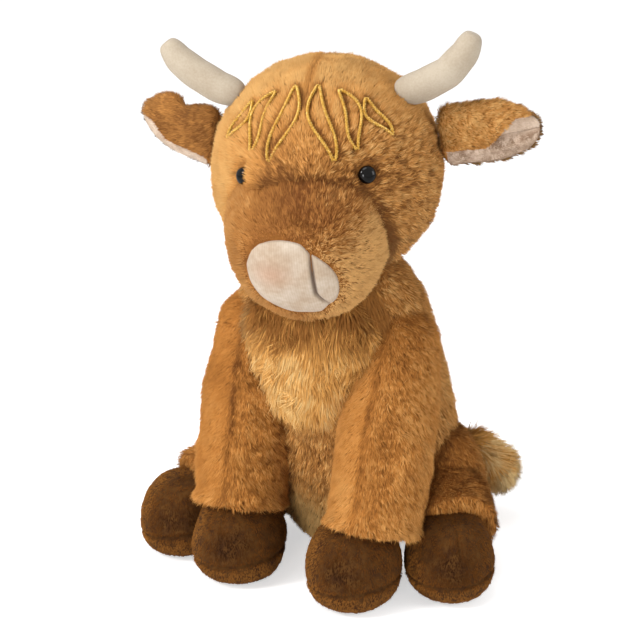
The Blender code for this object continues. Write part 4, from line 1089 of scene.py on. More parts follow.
ribs = add(tree, "TexWave", {"bands_direction": "X", "Scale": NOSE_MAP / NOSE_RIB * 2 * math.pi / 20,
                             "Distortion": 1.6, "Detail": 1.0}, {"Vector": place.outputs[0]})
solid = add(tree, "TexCoord")
fluff = add(tree, "TexNoise", {"Scale": 1 / NOSE_FLUFF, "Detail": 3.0}, {"Vector": solid.outputs["Object"]})
cloud = add(tree, "TexNoise", {"Scale": 1 / NOSE_CLOUD, "Detail": 2.0}, {"Vector": solid.outputs["Object"]})
grain = add(tree, "Mix", {"data_type": "FLOAT", 0: 0.85}, {2: ribs.outputs["Fac"], 3: fluff.outputs[0]})
pale = add(tree, "ValToRGB", None, {0: grain.outputs[0]})
spread(pale.color_ramp, ((0.25, "#b3a18e"), (0.5, "#bcac9a"), (0.8, "#c8b9a8")))
pink_and_painted_shade = add(tree, "ValToRGB", None, {0: apart.outputs["Y"]})
spread(pink_and_painted_shade.color_ramp, ((0.0, "#5f4232"), (0.5, "#ffffff"), (1.0, "#ecc6b0")))
tinted = add(tree, "Mix", {"data_type": "RGBA", "blend_type": "MULTIPLY", 0: 1.0},
             {6: pale.outputs[0], 7: pink_and_painted_shade.outputs[0]})
shaded = add(tree, "ValToRGB", None, {0: cloud.outputs[0]})
spread(shaded.color_ramp, ((0.35, "#eee6dd"), (0.65, "#ffffff")))
soft = add(tree, "Mix", {"data_type": "RGBA", "blend_type": "MULTIPLY", 0: 1.0},
           {6: tinted.outputs[2], 7: shaded.outputs[0]})
bump = add(tree, "Bump", {"Strength": 0.3, "Distance": 0.0003}, {"Height": grain.outputs[0]})
shader = add(tree, "BsdfPrincipled", {
    "Roughness": 0.9, "Specular IOR Level": 0.2, "Sheen Weight": 0.25, "Sheen Roughness": 0.4},
    {"Base Color": soft.outputs[2], "Normal": bump.outputs[0]})
add(tree, "OutputMaterial", None, {"Surface": shader.outputs[0]})


def on_muzzle(across, up):
    """Points of the muzzle's front in the toy's frame, from their place across and up the head's
    frame: the share of its length is found by halving, where the ring's ellipse meets the place."""
    beside = across - MUZZLE_MIDDLE[0]

    def at(share):
        """How far along its line a share is, and how far up its ring the place then lies."""
        along = MUZZLE_HALF_LENGTH * (2 * share - 1)
        return along, (up - MUZZLE_MIDDLE[2] - MUZZLE_ALONG[2] * along) / MUZZLE_UP[2]

    low, high = np.full(across.shape, 0.5), np.full(across.shape, 1.0)
    for _step in range(36):
        share = (low + high) / 2
        _centre, side, front = muzzle_shape(turn_at(share))
        wide = np.maximum(np.linalg.norm(side, axis=-1), 1e-9)
        tall = np.maximum(np.linalg.norm(front, axis=-1), 1e-9)
        inside = (beside / wide) ** 2 + (at(share)[1] / tall) ** 2 < 1
        low, high = np.where(inside, share, low), np.where(inside, high, share)
    along, rise = at((low + high) / 2)
    place = MUZZLE_MIDDLE + MUZZLE_ALONG * along[..., None] + stack(beside, 0, 0) + MUZZLE_UP * rise[..., None]
    return from_head(place)


def nose_crease(across, up):
    """How near a place is to the nose's crease, 1 on its line, and whether it lies beyond it."""
    low = np.clip((-0.30 - up / NOSE_HALF_HEIGHT) / 0.45, 0, 1.3)
    line = NOSE_CREASE_AT[0] + NOSE_CREASE_AT[1] * low ** 1.4
    return bell((across - line, NOSE_CREASE[1])), 1 / (1 + np.exp(-(across - line) / 0.0006))


part, angle = np.meshgrid(np.linspace(0, 1, NOSE_RINGS + 1)[1:],
                          np.arange(NOSE_SPOKES) * 2 * np.pi / NOSE_SPOKES - np.pi, indexing="ij")
part = np.append(part.ravel(), 0.0)
angle = np.append(angle.ravel(), 0.0)
across = NOSE_HALF_WIDTH * part * nose_reach(angle) * np.cos(angle)
up = NOSE_HALF_HEIGHT * part * nose_reach(angle) * np.sin(angle)
base = on_muzzle(NOSE_CENTRE[0] + across, NOSE_CENTRE[1] + up)
along_x = on_muzzle(NOSE_CENTRE[0] + across + SMALL_STEP, NOSE_CENTRE[1] + up) - base
along_z = on_muzzle(NOSE_CENTRE[0] + across, NOSE_CENTRE[1] + up - SMALL_STEP) - base
out = unit(np.cross(along_z, along_x))
out = unit(out * np.sign(out @ (MUZZLE_ALONG @ HEAD_WAY.T))[:, None])
line, beyond = nose_crease(across, up)
edge = np.sqrt(np.clip(1 - part ** 4, 0, 1))
edge_rise, pad_rise, full_rise = NOSE_RISE
height = edge * (pad_rise + full_rise * beyond * np.clip(1 - (up / NOSE_HALF_HEIGHT) ** 2, 0, 1)) + edge_rise
height = height - NOSE_CREASE[0] * line * edge + NOSE_LUMPS[0] * lumps(base, NOSE_LUMPS[1], 71)
# the map's second place is the tint: pink on one side, and painted shade in the crease and at the rim
pink = bell((across + 0.010, 0.010), (up - 0.005, 0.007))
pink_and_painted_shade = np.clip(0.5 + 0.32 * pink - 0.42 * line * edge - 0.10 * (part > 0.97), 0.01, 0.99)
points = np.concatenate([base + out * height[:, None], base - out * NOSE_SUNK])
palette = np.stack([across / NOSE_MAP + 0.5, pink_and_painted_shade], -1)
row, column = np.meshgrid(np.arange(NOSE_RINGS - 1), np.arange(NOSE_SPOKES), indexing="ij")
here, beside = row * NOSE_SPOKES + column, row * NOSE_SPOKES + (column + 1) % NOSE_SPOKES
outer, outer_beside = here + NOSE_SPOKES, beside + NOSE_SPOKES
quads = np.stack([here, outer, outer_beside, here, outer_beside, beside], -1).reshape(-1, 3)
rim = np.arange(NOSE_SPOKES)
rim_next = (rim + 1) % NOSE_SPOKES
cap = np.stack([rim * 0 + NOSE_RINGS * NOSE_SPOKES, rim, rim_next], -1)
under = NOSE_RINGS * NOSE_SPOKES + 1
last = (NOSE_RINGS - 1) * NOSE_SPOKES
wall = np.concatenate([np.stack([last + rim, last + rim + under, last + rim_next + under], -1),
                       np.stack([last + rim, last + rim_next + under, last + rim_next], -1)])
faces = np.concatenate([quads, cap, quads[:, ::-1] + under, cap[:, ::-1] + under, wall])
corner = points[faces] - points.mean(axis=0)
if np.sum(dot(corner[:, 0], np.cross(corner[:, 1], corner[:, 2]))) < 0:
    faces = faces[:, ::-1]
nose_cloth = put_mesh("nose_cloth", points, faces, NOSE_KNIT, np.concatenate([palette, palette]))
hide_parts("nose_patch")
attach(nose_cloth, "head")

# Eyes. Domes of black moulded plastic, pushed through the cloth and held by a washer inside. They
# are polished, so each shows the lamps as small sharp lights; the washers are half matt.

EYE_SUNK = 0.0022        # how far the flat back lies under the head's surface
EYE_DEPTH = 0.0066
EYE_END = 0.75
EYE_MOTTLE = 1 / 300     # 3.3 mm, of its colour, hardly seen
WASHER_MOTTLE = 1 / 400  # 2.5 mm
EYE_GLOSS, tree = new_material("gloss_black_eye_plastic")
place = add(tree, "TexCoord")
swirl = add(tree, "TexNoise", {"Scale": 1 / EYE_MOTTLE, "Detail": 2.0}, {"Vector": place.outputs["Object"]})
tone = add(tree, "ValToRGB", None, {0: swirl.outputs[0]})
spread(tone.color_ramp, ((0.3, "#030202"), (0.8, "#0a0705")))
shader = add(tree, "BsdfPrincipled", {"Roughness": 0.05, "IOR": 1.5, "Specular IOR Level": 0.2},
             {"Base Color": tone.outputs[0]})
add(tree, "OutputMaterial", None, {"Surface": shader.outputs[0]})


def eye_shape(turn):
    """An eye on its own line: a low dome over a flat back."""
    share = way(turn)
    reach = EYE_RADIUS * closing(turn, EYE_END)
    return stack(0, 0, EYE_DEPTH * share - EYE_SUNK), stack(reach, 0, 0), stack(0, reach, 0)


for side, (place, out_way) in eye_places.items():
    upward = unit(np.array([0, 0, 1.0]) - out_way * out_way[2])
    own_way = np.stack([np.cross(upward, out_way), upward, out_way], axis=1)
    eye_ring = placed(placed(eye_shape, place, own_way), HEAD_CENTRE, HEAD_WAY)
    eye = closed_form("eye_dome_" + side, eye_ring, EYE_GLOSS, rows=28, columns=40)
    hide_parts("eye_" + side)
    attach(eye, "head")

WASHER_PLASTIC, tree = new_material("moulded_white_washer")
place = add(tree, "TexCoord")
swirl = add(tree, "TexNoise", {"Scale": 1 / WASHER_MOTTLE, "Detail": 2.0}, {"Vector": place.outputs["Object"]})
tone = add(tree, "ValToRGB", None, {0: swirl.outputs[0]})
spread(tone.color_ramp, ((0.3, "#dcdcd8"), (0.8, "#ecece8")))
shader = add(tree, "BsdfPrincipled", {"Roughness": 0.5}, {"Base Color": tone.outputs[0]})
add(tree, "OutputMaterial", None, {"Surface": shader.outputs[0]})
for side, _sign in SIDES:
    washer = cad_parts["eye_washer_" + side]
    washer.data.materials.clear()
    washer.data.materials.append(WASHER_PLASTIC)

# Horns. Cream suede cloth, stuffed firmly and set into the crown's seams; its nap is too short to
# see, so the cloth is smooth but for a fine mottle.

HORN_RADIUS = 0.0090
HORN_OUT = 0.0880
HORN_RISE = 0.0752
HORN_FORWARD = 0.006
HORN_END = 0.45
HORN_LUMPS = (0.0004, 0.012)            # height and size
HORN_NAP = 1 / 900       # 1.1 mm, coarser than the real nap so that it shows
HORN_SHADE = 1 / 60      # 17 mm, where the nap lies another way
HORN_SHARES = {          # share of its length, out, rise, forward and radius, for each side
    1.0: ((0.00, 0.50, 0.575, 1.5, 1.22), (0.25, 0.67, 0.635, 1.4, 1.08), (0.50, 0.825, 0.72, 1.2, 1.00),
          (0.75, 0.935, 0.855, 1.1, 0.97), (1.00, 1.00, 1.00, 1.0, 0.92)),
    -1.0: ((0.00, 0.50, 0.585, 1.5, 1.18), (0.25, 0.66, 0.655, 1.4, 1.08), (0.50, 0.80, 0.755, 1.2, 1.02),
           (0.75, 0.915, 0.87, 1.1, 0.97), (1.00, 1.00, 1.00, 1.0, 0.92)),
}
HORN_SUEDE, tree = new_material("cream_suede_cloth")
place = add(tree, "TexCoord")
nap = add(tree, "TexNoise", {"Scale": 1 / HORN_NAP, "Detail": 4.0}, {"Vector": place.outputs["Object"]})
shade = add(tree, "TexNoise", {"Scale": 1 / HORN_SHADE, "Detail": 2.0}, {"Vector": place.outputs["Object"]})
both = add(tree, "Mix", {"data_type": "FLOAT", 0: 0.6}, {2: nap.outputs[0], 3: shade.outputs[0]})
tone = add(tree, "ValToRGB", None, {0: both.outputs[0]})
spread(tone.color_ramp, ((0.36, "#a89985"), (0.64, "#b8ab98")))
bump = add(tree, "Bump", {"Strength": 0.2, "Distance": 0.00015}, {"Height": nap.outputs[0]})
shader = add(tree, "BsdfPrincipled", {
    "Roughness": 0.9, "Specular IOR Level": 0.15, "Sheen Weight": 0.25, "Sheen Roughness": 0.4},
    {"Base Color": tone.outputs[0], "Normal": bump.outputs[0]})
add(tree, "OutputMaterial", None, {"Surface": shader.outputs[0]})


def horn_shape(sign):
    """A horn in the head's frame: rings square to a line that goes out, then bends up."""
    table = HORN_SHARES[sign]

    def ring(turn):
        """The ring at a turn: its middle and its two half axes."""
        share = way(turn)
        out, rise, front, radius = read_shares(table, share)
        after = read_shares(table, np.clip(share + 0.02, 0, 1))
        before = read_shares(table, np.clip(share - 0.02, 0, 1))
        along = unit(stack(sign * (after[0] - before[0]) * HORN_OUT, 0, (after[1] - before[1]) * HORN_RISE))
        reach = (closing(turn, HORN_END) * radius * HORN_RADIUS)[..., None]
        centre = stack(sign * out * HORN_OUT, -front * HORN_FORWARD, rise * HORN_RISE)
        back = np.array([0, 1.0, 0])
        return centre, np.cross(along, back) * reach, back * reach

    return ring


def horn_dent(points):
    """The horn's surface: a few soft dents of the stuffed cloth."""
    height, size = HORN_LUMPS
    return height * lumps(points, size, 81)


for side, sign in SIDES:
    horn_ring = placed(horn_shape(sign), HEAD_CENTRE, HEAD_WAY)
    horn = closed_form("horn_suede_" + side, horn_ring, HORN_SUEDE, horn_dent)
    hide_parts("horn_" + side)
    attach(horn, "head")

# Ears. Plush leaves sewn on at a pinched root. The left one's upper half folds forward over a
# pale lining, which has a fold of its own; the right one lies back and shows only the lining's rim.

EAR_LENGTH = 0.056
EAR_HALF_WIDTH = 0.0180
EAR_HALF_THICKNESS = 0.0075
EAR_RAISE = 0.0165
EAR_BACK = 0.004
EAR_END = 0.4
EAR_SHARES = (           # share of its length, of its half width and of its half thickness
    (0.0, 0.92, 0.74), (0.3, 1.0, 1.0), (0.6, 0.97, 0.95), (0.85, 0.74, 0.80), (1.0, 0.45, 0.6),
)
EAR_POSES = {"left": (4.0, 0.0), "right": (15.0, 24.0)}             # degrees of lift and of sweep back
EAR_ROOT_RADIUS = 0.0055
EAR_FLAP_EDGE = {"left": (-0.46, 0.40), "right": (-0.58, -0.08)}    # root and tip, of its half width
EAR_FOLD = (-0.52, -0.12)               # the lining's own fold, the same way
EAR_TUCK = {"left": 0.0034, "right": 0.0016}                        # how far in the lining lies
EAR_LUMPS = (0.0008, 0.014)             # height and size
EAR_ROLL = 0.0016        # how far the flap's edge stands out
EAR_PINCH = 0.0050       # how much fuller the root is above and below its pinched middle
EAR_CREASE = 0.0022      # depth of the lining's fold, and height of the lip below it
EAR_DIP = 0.0056         # how far the right ear's upper edge dips
EAR_TONE = {"left": 0.62, "right": 0.20}
EAR_RUFFLE = {"left": 0.55, "right": 0.25}
EAR_TUFTS = 17000
EAR_PILE_LENGTH = 0.0042
LINING_TUFTS = 8000
LINING_PILE_LENGTH = 0.0014
ear_level = math.degrees(math.asin(EAR_RAISE / HEAD_HALF_HEIGHT))
ear_root_out = head_surface(90.0, ear_level)[0][0] + EAR_ROOT_RADIUS * 0.5


def ear_shape(sign):
    """An ear in its own frame: upright rings along its length."""
    def ring(turn):
        """The ring at a turn: its middle and its two half axes."""
        share = way(turn)
        width, depth = read_shares(EAR_SHARES, share)
        out = closing(turn, EAR_END)
        zero = np.zeros_like(turn)
        return (stack(sign * EAR_LENGTH * share, zero, zero), stack(0, 0, EAR_HALF_WIDTH * width * out),
                stack(0, EAR_HALF_THICKNESS * depth * out, 0))

    return ring


def ear_terms(points, side):
    """Points in an ear's terms: the share of its length, how far up as a share of its half width,
    how far forward, and the places of the flap's edge and of the lining's fold there."""
    sign = dict(SIDES)[side]
    own = (points - ear_places[side]) @ ear_ways[side]
    share = np.clip(sign * own[..., 0] / EAR_LENGTH, 0, 1)
    root, tip = EAR_FLAP_EDGE[side]
    late = past(share, 0.42, 0.40)
    late = late * late * (3 - 2 * late)
    fold = EAR_FOLD[0] + (EAR_FOLD[1] - EAR_FOLD[0]) * share
    return share, own[..., 2] / EAR_HALF_WIDTH, -own[..., 1], root + (tip - root) * late, fold


def ear_dent(side):
    """The surface of one ear."""
    def dent(points):
        """The lining lies in under the flap's rolled edge, with a fold along it; the right ear's
        upper edge dips where it is bent back."""
        share, up, ahead, edge, fold = ear_terms(points, side)
        front = 1 / (1 + np.exp(-(ahead - 0.001) / 0.0008))
        low = 1 / (1 + np.exp((up - edge) / 0.05))
        roll = bell((up - edge - 0.20, 0.20)) * front
        root = bell((share, 0.16)) * np.clip(np.abs(up) * 1.6 - 0.3, 0, 1)
        total = EAR_ROLL * roll - EAR_TUCK[side] * low * front
        total = total + EAR_LUMPS[0] * lumps(points, EAR_LUMPS[1], 91) + EAR_PINCH * root
        if side == "left":
            crease = bell((up - fold, 0.09)) * front * past(share, 0.15, 0.1)
            lip = bell((up - fold + 0.30, 0.18)) * front
            return total - EAR_CREASE * crease + EAR_CREASE * lip
        dip = bell((share - 0.46, 0.13)) * past(up, -0.1, 0.8)
        return total - EAR_DIP * dip

    return dent


def lined(points, side):
    """Whether places lie on the pale lining: the leaf's front below the flap's edge, or round the
    right ear's tip."""
    share, up, ahead, edge, _fold = ear_terms(points, side)
    pale = (ahead > -0.001) & (up < edge) & (share > 0.06)
    if side == "right":
        pale |= (ahead > 0.0005) & (share > 0.90) & (up < 0.5)
    return pale


LINING_PILE = plush("pale_short_lining_pile", "#9c7f69", "#977a62", "#d2b9a2", "#ecdac8", 0.15)
LINING_BACKING = backing("pale_lining_backing", "#b79d88", "#d2bba6", 0.0008)
ear_places, ear_ways = {}, {}
for side, sign in SIDES:
    lift, sweep = EAR_POSES[side]
    ear_ways[side] = HEAD_WAY @ turned_about(0, math.radians(-sign * lift), math.radians(sign * sweep))
    ear_places[side] = from_head(np.array([sign * ear_root_out, EAR_BACK, EAR_RAISE]))
    ear_ring = placed(ear_shape(sign), ear_places[side], ear_ways[side])
    ear_cloth = closed_form("ear_cloth_" + side, ear_ring, CARAMEL_BACKING, ear_dent(side), rows=80,
                            columns=130)
    ear_cloth.data.materials.append(LINING_BACKING)
    corners = np.empty(len(ear_cloth.data.vertices) * 3)
    ear_cloth.data.vertices.foreach_get("co", corners)
    faces = np.empty(len(ear_cloth.data.polygons) * 3, dtype=np.int32)
    ear_cloth.data.polygons.foreach_get("vertices", faces)
    middles = corners.reshape(-1, 3)[faces.reshape(-1, 3)].mean(axis=1)
    ear_cloth.data.polygons.foreach_set("material_index", lined(middles, side).astype(np.int32))
    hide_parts("ear_" + side)
    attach(ear_cloth, "ear_" + side)
    points, out, _turn = sow(ear_ring, EAR_TUFTS, 92, ear_dent(side))
    _share, up, ahead, edge, _fold = ear_terms(points, side)
    lie = sign * ear_ways[side][:, 0] + np.array([0, 0, -0.35]) * (ahead > 0)[:, None]
    # darker where the ear meets the head: painted shade
    tone = EAR_TONE[side] + 0.12 * lumps(points, 0.012, 93) - 0.3 * in_head(points, 0.004)
    keep = ~lined(points, side) & ~in_head(points, -0.001)
    length = EAR_PILE_LENGTH * np.where(ahead > 0, np.clip((up - edge) / 0.25 + 0.3, 0.3, 1), 1)
    ear_pile = tufts("ear_pile_" + side, points[keep], out[keep], lie[keep], CARAMEL_PILE, tone[keep], 95,
                     length[keep], ruffle=EAR_RUFFLE[side])
    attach(ear_pile, "ear_" + side)
    points, out, _turn = sow(ear_ring, LINING_TUFTS, 97, ear_dent(side),
                             crowd=lambda place: lined(place, side) + 0.0)
    keep = lined(points, side) & ~in_head(points, -0.001)
    points, out = points[keep], out[keep]
    _share, up, _ahead, edge, fold = ear_terms(points, side)
    # painted shade just under the flap's edge, and on the left ear along the lining's fold and below it
    tone = 0.55 + 0.2 * lumps(points, 0.004, 98) - 0.35 * np.clip(1 - (edge - up) / 0.15, 0, 1)
    if side == "left":
        tone = tone - 0.75 * bell((up - fold, 0.11)) - 0.42 * (up < fold)
    lie = sign * ear_ways[side][:, 0] + 0 * out
    ear_lining = tufts("ear_lining_pile_" + side, points, out, lie, LINING_PILE, tone, 96,
                       length=LINING_PILE_LENGTH, clump=0.003, mound=0.0001, ruffle=0.15)
    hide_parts("ear_lining_" + side)
    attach(ear_lining, "ear_" + side)

# Chest pile. Fibres some 12 mm long that hang in locks, lighter at their tips, over the ruff's
# core and the cover round it.

BLADE_FACES = (
    (0, 1, 2), (1, 0, 3), (1, 3, 4), (2, 1, 4), (2, 4, 5), (0, 2, 5), (0, 5, 3), (4, 3, 6), (5, 4, 6), (3, 5, 6),
)
BLADE_RISE = (0.05, 0.05, 0.10, 0.45, 0.45, 0.47, 0.98)    # its corners' places from root to tip
RUFF_LOW = 0.1090        # the lowest roots of the long pile
RUFF_BACK = -0.045       # the furthest back of its roots
RUFF_TUFTS = 29000
ROUND_TUFTS = 52000      # sown on the cover round the core, most of them hidden by it or by a limb
CHEST_TUFTS = 8000       # the most that are kept of those that show


def long_pile(name, points, out, lie, material, tone, seed, length, width, lean, curl, clump):
    """Long fibres: each a closed three-sided blade that bends once, drawn towards its lock's line.
    Its palette place is its tone and the share from root to tip."""
    draw = np.random.default_rng(seed)
    count = len(points)
    swirl = lumps(points, clump, seed + 1, 3)
    lie = unit(lie) + 0.95 * swirl + draw.normal(0, 0.10, (count, 3))
    lie = unit(lie - out * dot(lie, out)[:, None])
    first_angle = lean + 8 * lumps(points, clump * 1.4, seed + 3) + draw.normal(0, 7, count)
    last_angle = first_angle + curl + 16 * lumps(points, clump, seed + 2) + draw.normal(0, 8, count)
    first_angle, last_angle = np.radians(first_angle)[:, None], np.radians(last_angle)[:, None]
    first_way = out * np.cos(first_angle) + lie * np.sin(first_angle)
    last_way = out * np.cos(last_angle) + lie * np.sin(last_angle)
    size = (length * (0.65 + 0.5 * draw.random(count)))[:, None]
    half = (width * (0.7 + 0.6 * draw.random(count)) / 2)[:, None]
    across = unit(np.cross(out, first_way))
    root = points - out * PILE_SINK
    bend = root + first_way * size * 0.5
    tip = bend + last_way * size * 0.5
    over = unit(np.cross(first_way, across))
    over = over * np.sign(dot(over, out))[:, None]
    corners = np.stack([
        root + across * half, root - across * half, root + over * half,
        bend + across * half * 0.8, bend - across * half * 0.8, bend + over * half * 0.8, tip], 1)
    corners[..., 2] = np.maximum(corners[..., 2], FLOOR_GAP)
    shade = unit(out + 0.60 * swirl)
    own = [unit(shade + across * 0.6), unit(shade - across * 0.6), shade] * 2 + [unit(shade + 0.4 * last_way)]
    own = np.stack(own, 1)
    faces = ((np.arange(count) * 7)[:, None, None] + np.array(BLADE_FACES)).reshape(-1, 3)
    tone = tone + 0.34 * lumps(points, clump * 0.6, seed + 2) + draw.normal(0, 0.14, count)
    palette = np.stack([np.repeat(np.clip(tone, 0.01, 0.99), 7), np.tile(BLADE_RISE, count)], -1)
    return put_mesh(name, corners.reshape(-1, 3), faces, material, palette, own.reshape(-1, 3))


RUFF_PILE = plush("long_combed_pile", "#6b431b", "#8a5722", "#da9c50", "#f0c986", 0.25)
points, out, _turn = sow(ruff_ring, RUFF_TUFTS, 101)
keep = ~(in_body(points, -0.001) | in_muzzle(points) | hidden_by_limbs(points, -0.003))
keep &= points[:, 1] < RUFF_BACK
low = keep & (points[:, 2] < RUFF_LOW)
keep &= ~low
under = np.array([0, 0, -1.0]) + 0 * points[low]
belly_pile = tufts("belly_top_pile", points[low], out[low], under, CARAMEL_PILE, np.full(low.sum(), 0.45), 107,
                   ruffle=0.75)
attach(belly_pile, "torso")
more, more_out, _turn = sow(body_ring, ROUND_TUFTS, 105, body_dent, crowd=chest_share)
more_keep = ~(in_ruff(more, PRESSED) | hidden_by_limbs(more) | in_head(more, -0.001))
more_keep &= more[:, 2] > RUFF_LOW
points = np.concatenate([points[keep], more[more_keep][:CHEST_TUFTS]])
out = np.concatenate([out[keep], more_out[more_keep][:CHEST_TUFTS]])
lie = np.array([0, -0.1, -1.0]) + stack(points[:, 0] * 3, 0, 0)
# painted shade beside the legs and at the top, under the chin; lighter low down
tone = 0.55 + 0.12 * lumps(points, 0.012, 102) - 0.35 * hidden_by_limbs(points, 0.005)
tone = tone - 0.55 * past(points[:, 2], 0.150, 0.018) + 0.14 * past(points[:, 2], 0.135, -0.02)
ruff_pile = long_pile("chest_ruff_pile", points, out, lie, RUFF_PILE, tone, 104,
                      length=0.0135, width=0.0010, lean=52, curl=22, clump=0.0065)
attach(ruff_pile, "torso")

# Front leg pile. Combed down and parted to each side of the front seam, longer at the hem, where
# it hangs over the hoof.

LEG_TUFTS = 54000
LEG_END = 0.985          # the last of its turns that carries pile
LEG_PILE_LENGTH = 0.0049
LEG_SHEEN = {"left": 0.10, "right": -0.04}    # painted sheen: how much lighter its smooth pile is; on the right leg it is darker
RUST_PILE = plush("rust_plush_pile", "#6d3e13", "#6f3f13", "#be7b36", "#e2a55c")
for side, (ring, _inside, along, sideways, front) in front_legs.items():
    shoulder, cuff = front_leg_ends[side]
    backward = front * np.sign(front[1])

    def leg_crowd(place):
        """The leg carries more tufts in front than at its back."""
        return np.where((place - shoulder) @ backward < 0.002, FRONT_CROWD, 1.0)

    points, out, turn = sow(ring, LEG_TUFTS, 113, front_leg_dent(side), last=LEG_END, crowd=leg_crowd)
    # the leg's pile stops at the torso and at the hoof, but goes on further at the shoulder
    hoof_place, facing = hooves["front_" + side]
    in_own_hoof = in_hoof(points, hoof_ring(hoof_place, facing), hoof_place, PRESSED)
    keep = (~(in_body(points, PRESSED) | in_own_hoof) | (turn < 0.2)) & ~in_body(points, -0.006)
    points, out = points[keep], out[keep]
    across = (points - shoulder) @ sideways
    before = (points - shoulder) @ backward < 0
    lie = along + sideways * (0.40 * np.tanh(across / 0.004) * before)[:, None]
    # painted shade in the parting and beside the torso; lighter at the hem and on the outer side, and a painted
    # sheen on the smooth pile
    parting = bell((across - 0.0006, 0.0018)) * before
    tone = 0.53 + 0.12 * lumps(points, 0.018, 114) - 0.26 * (1 + lumps(points, 0.007, 118)) * parting
    tone = tone - 0.28 * in_body(points, 0.004) * past(points[:, 2], 0.135, -0.02)
    apart = across + 0.006 + 0.004 * lumps(points, 0.010, 119)
    ruffle = 0.72 * np.clip(apart / 0.018, 0.1, 1) * before + 0.5 * ~before
    hem = bell(((points - cuff) @ along, 0.006))
    tone = tone + LEG_SHEEN[side] * (1 - ruffle) + 0.10 * hem + 0.16 * past(across, 0.012, 0.012) * before
    length = LEG_PILE_LENGTH * (1 + 0.22 * hem * (1 + lumps(points, 0.004, 117)))
    leg_pile = tufts("front_leg_pile_" + side, points, out, lie, RUST_PILE, tone, 116, length,
                     ruffle=np.maximum(ruffle, 0.6 * hem))
    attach(leg_pile, "front_leg_" + side)

# Hind leg pile. Combed down over the thigh and along the leg.

HIND_TUFTS = 25500
THIGH_TUFTS = 20500
HIDDEN = -0.003          # a tuft deeper than this in the other of the two forms is left off
for side, sign in SIDES:
    ring, inside, along = hind_legs[side][:3]
    first, first_out, _turn = sow(ring, HIND_TUFTS, 123, hind_dent, last=LEG_END)
    second, second_out, _turn = sow(thigh_ring(sign), THIGH_TUFTS, 124, hind_dent)
    hoof_place, facing = hooves["hind_" + side]
    in_own_hoof = in_hoof(first, hoof_ring(hoof_place, facing), hoof_place, PRESSED)
    first_keep = ~(in_body(first, PRESSED) | in_own_hoof | in_thigh(first, sign, HIDDEN))
    second_keep = ~(in_body(second, PRESSED) | inside(second, HIDDEN))
    points = np.concatenate([first[first_keep], second[second_keep]])
    out = np.concatenate([first_out[first_keep], second_out[second_keep]])
    lie = along + np.array([0, 0, -0.5]) + 0 * points
    # painted shade beside the torso and beside the front leg
    tone = 0.46 + 0.2 * lumps(points, 0.018, 125) - 0.28 * in_body(points, 0.004)
    tone = tone - 0.2 * front_legs[side][1](points, 0.006)
    leg_pile = tufts("hind_leg_pile_" + side, points, out, lie, RUST_PILE, tone, 127, ruffle=0.6)
    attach(leg_pile, "hind_leg_" + side)

# Hoof pile. Dark velour about 2 mm long, darker in a patch on each hoof, with a painted sheen beside the patch
# and painted light low down.

HOOF_PILE = plush("dark_velour_pile", "#4a2a0f", "#2c1605", "#633b15", "#94612c", 0.05, 0.08)
HOOF_TUFTS = 14500
HOOF_PATCH = {           # the place across of its dark patch
    "front_left": 0.15, "front_right": 0.15, "hind_left": -0.15, "hind_right": 0.60,
}
SOLE_BARE = 0.0006       # nearer to the floor than this no tuft stands
for key, (place, facing) in hooves.items():
    kind, side = key.split("_")
    ring = hoof_ring(place, facing)
    points, out, _turn = sow(ring, HOOF_TUFTS, 132, hoof_dent(place, facing, HOOF_FULLER[kind]))
    leg_inside = (front_legs if kind == "front" else hind_legs)[side][1]
    keep = ~leg_inside(points, PRESSED) & (points[:, 2] > SOLE_BARE)
    points, out = points[keep], out[keep]
    across, ahead, up = hoof_places(points, place, facing)
    # a darker patch; beside it a painted sheen, lighter low down as painted light, darker along the sole's seam,
    # and painted shade under the leg's hem
    patch = bell((across - HOOF_PATCH[key], 0.48), (up - 0.20, 0.52)) * (ahead > -0.2)
    sheen_beside_patch = past(across, HOOF_PATCH[key] - 0.45, -0.25) * (up > -0.5)
    low = past(up, -0.15, -0.35)
    tone = 0.54 - 0.54 * patch + 0.24 * sheen_beside_patch + 0.22 * low + 0.08 * lumps(points, 0.016, 133)
    tone = tone - 0.3 * bell((up - sole_seam(across), 0.05)) - 0.25 * leg_inside(points, 0.004)
    lie = np.array([0, 0, -1.0]) + 0 * points
    hoof_pile = tufts(kind + "_hoof_pile_" + side, points, out, lie, HOOF_PILE, tone, 135, length=0.0022,
                      width=0.0011, lean=62, clump=0.0035, mound=0.0001, ruffle=0.04)
    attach(hoof_pile, kind + "_leg_" + side)

# Tail. A thin plush tube that lies round to the side, ending in a tuft of long pile that spreads.

TAIL_ROOT = np.array([0.0, 0.054, 0.046])
TAIL_RADIUS = 0.0085
TAIL_REACH = 0.058
TAIL_SWEEP = 0.020
TAIL_END = 0.4
TAIL_TUFTS = 7500
TAIL_SHARES = (          # share of its length, across, back, up and radius
    (0.00, 0.0, 0.0, 0.00, 1.00), (0.333, 0.22, 0.70, 0.20, 0.95), (0.667, 0.58, 0.90, 0.30, 0.90),
    (1.00, 1.00, 0.50, 0.05, 0.85),
)
TUFT_RADIUS = 0.0145
TUFT_LENGTH = 0.044
TUFT_WAY = unit(np.array([0.80, -0.12, -0.58]))
TUFT_CORE = (0.58, 0.76)                # the core's share of the tuft's radius and length
TUFT_END = 0.7
TUFT_TUFTS = 7000


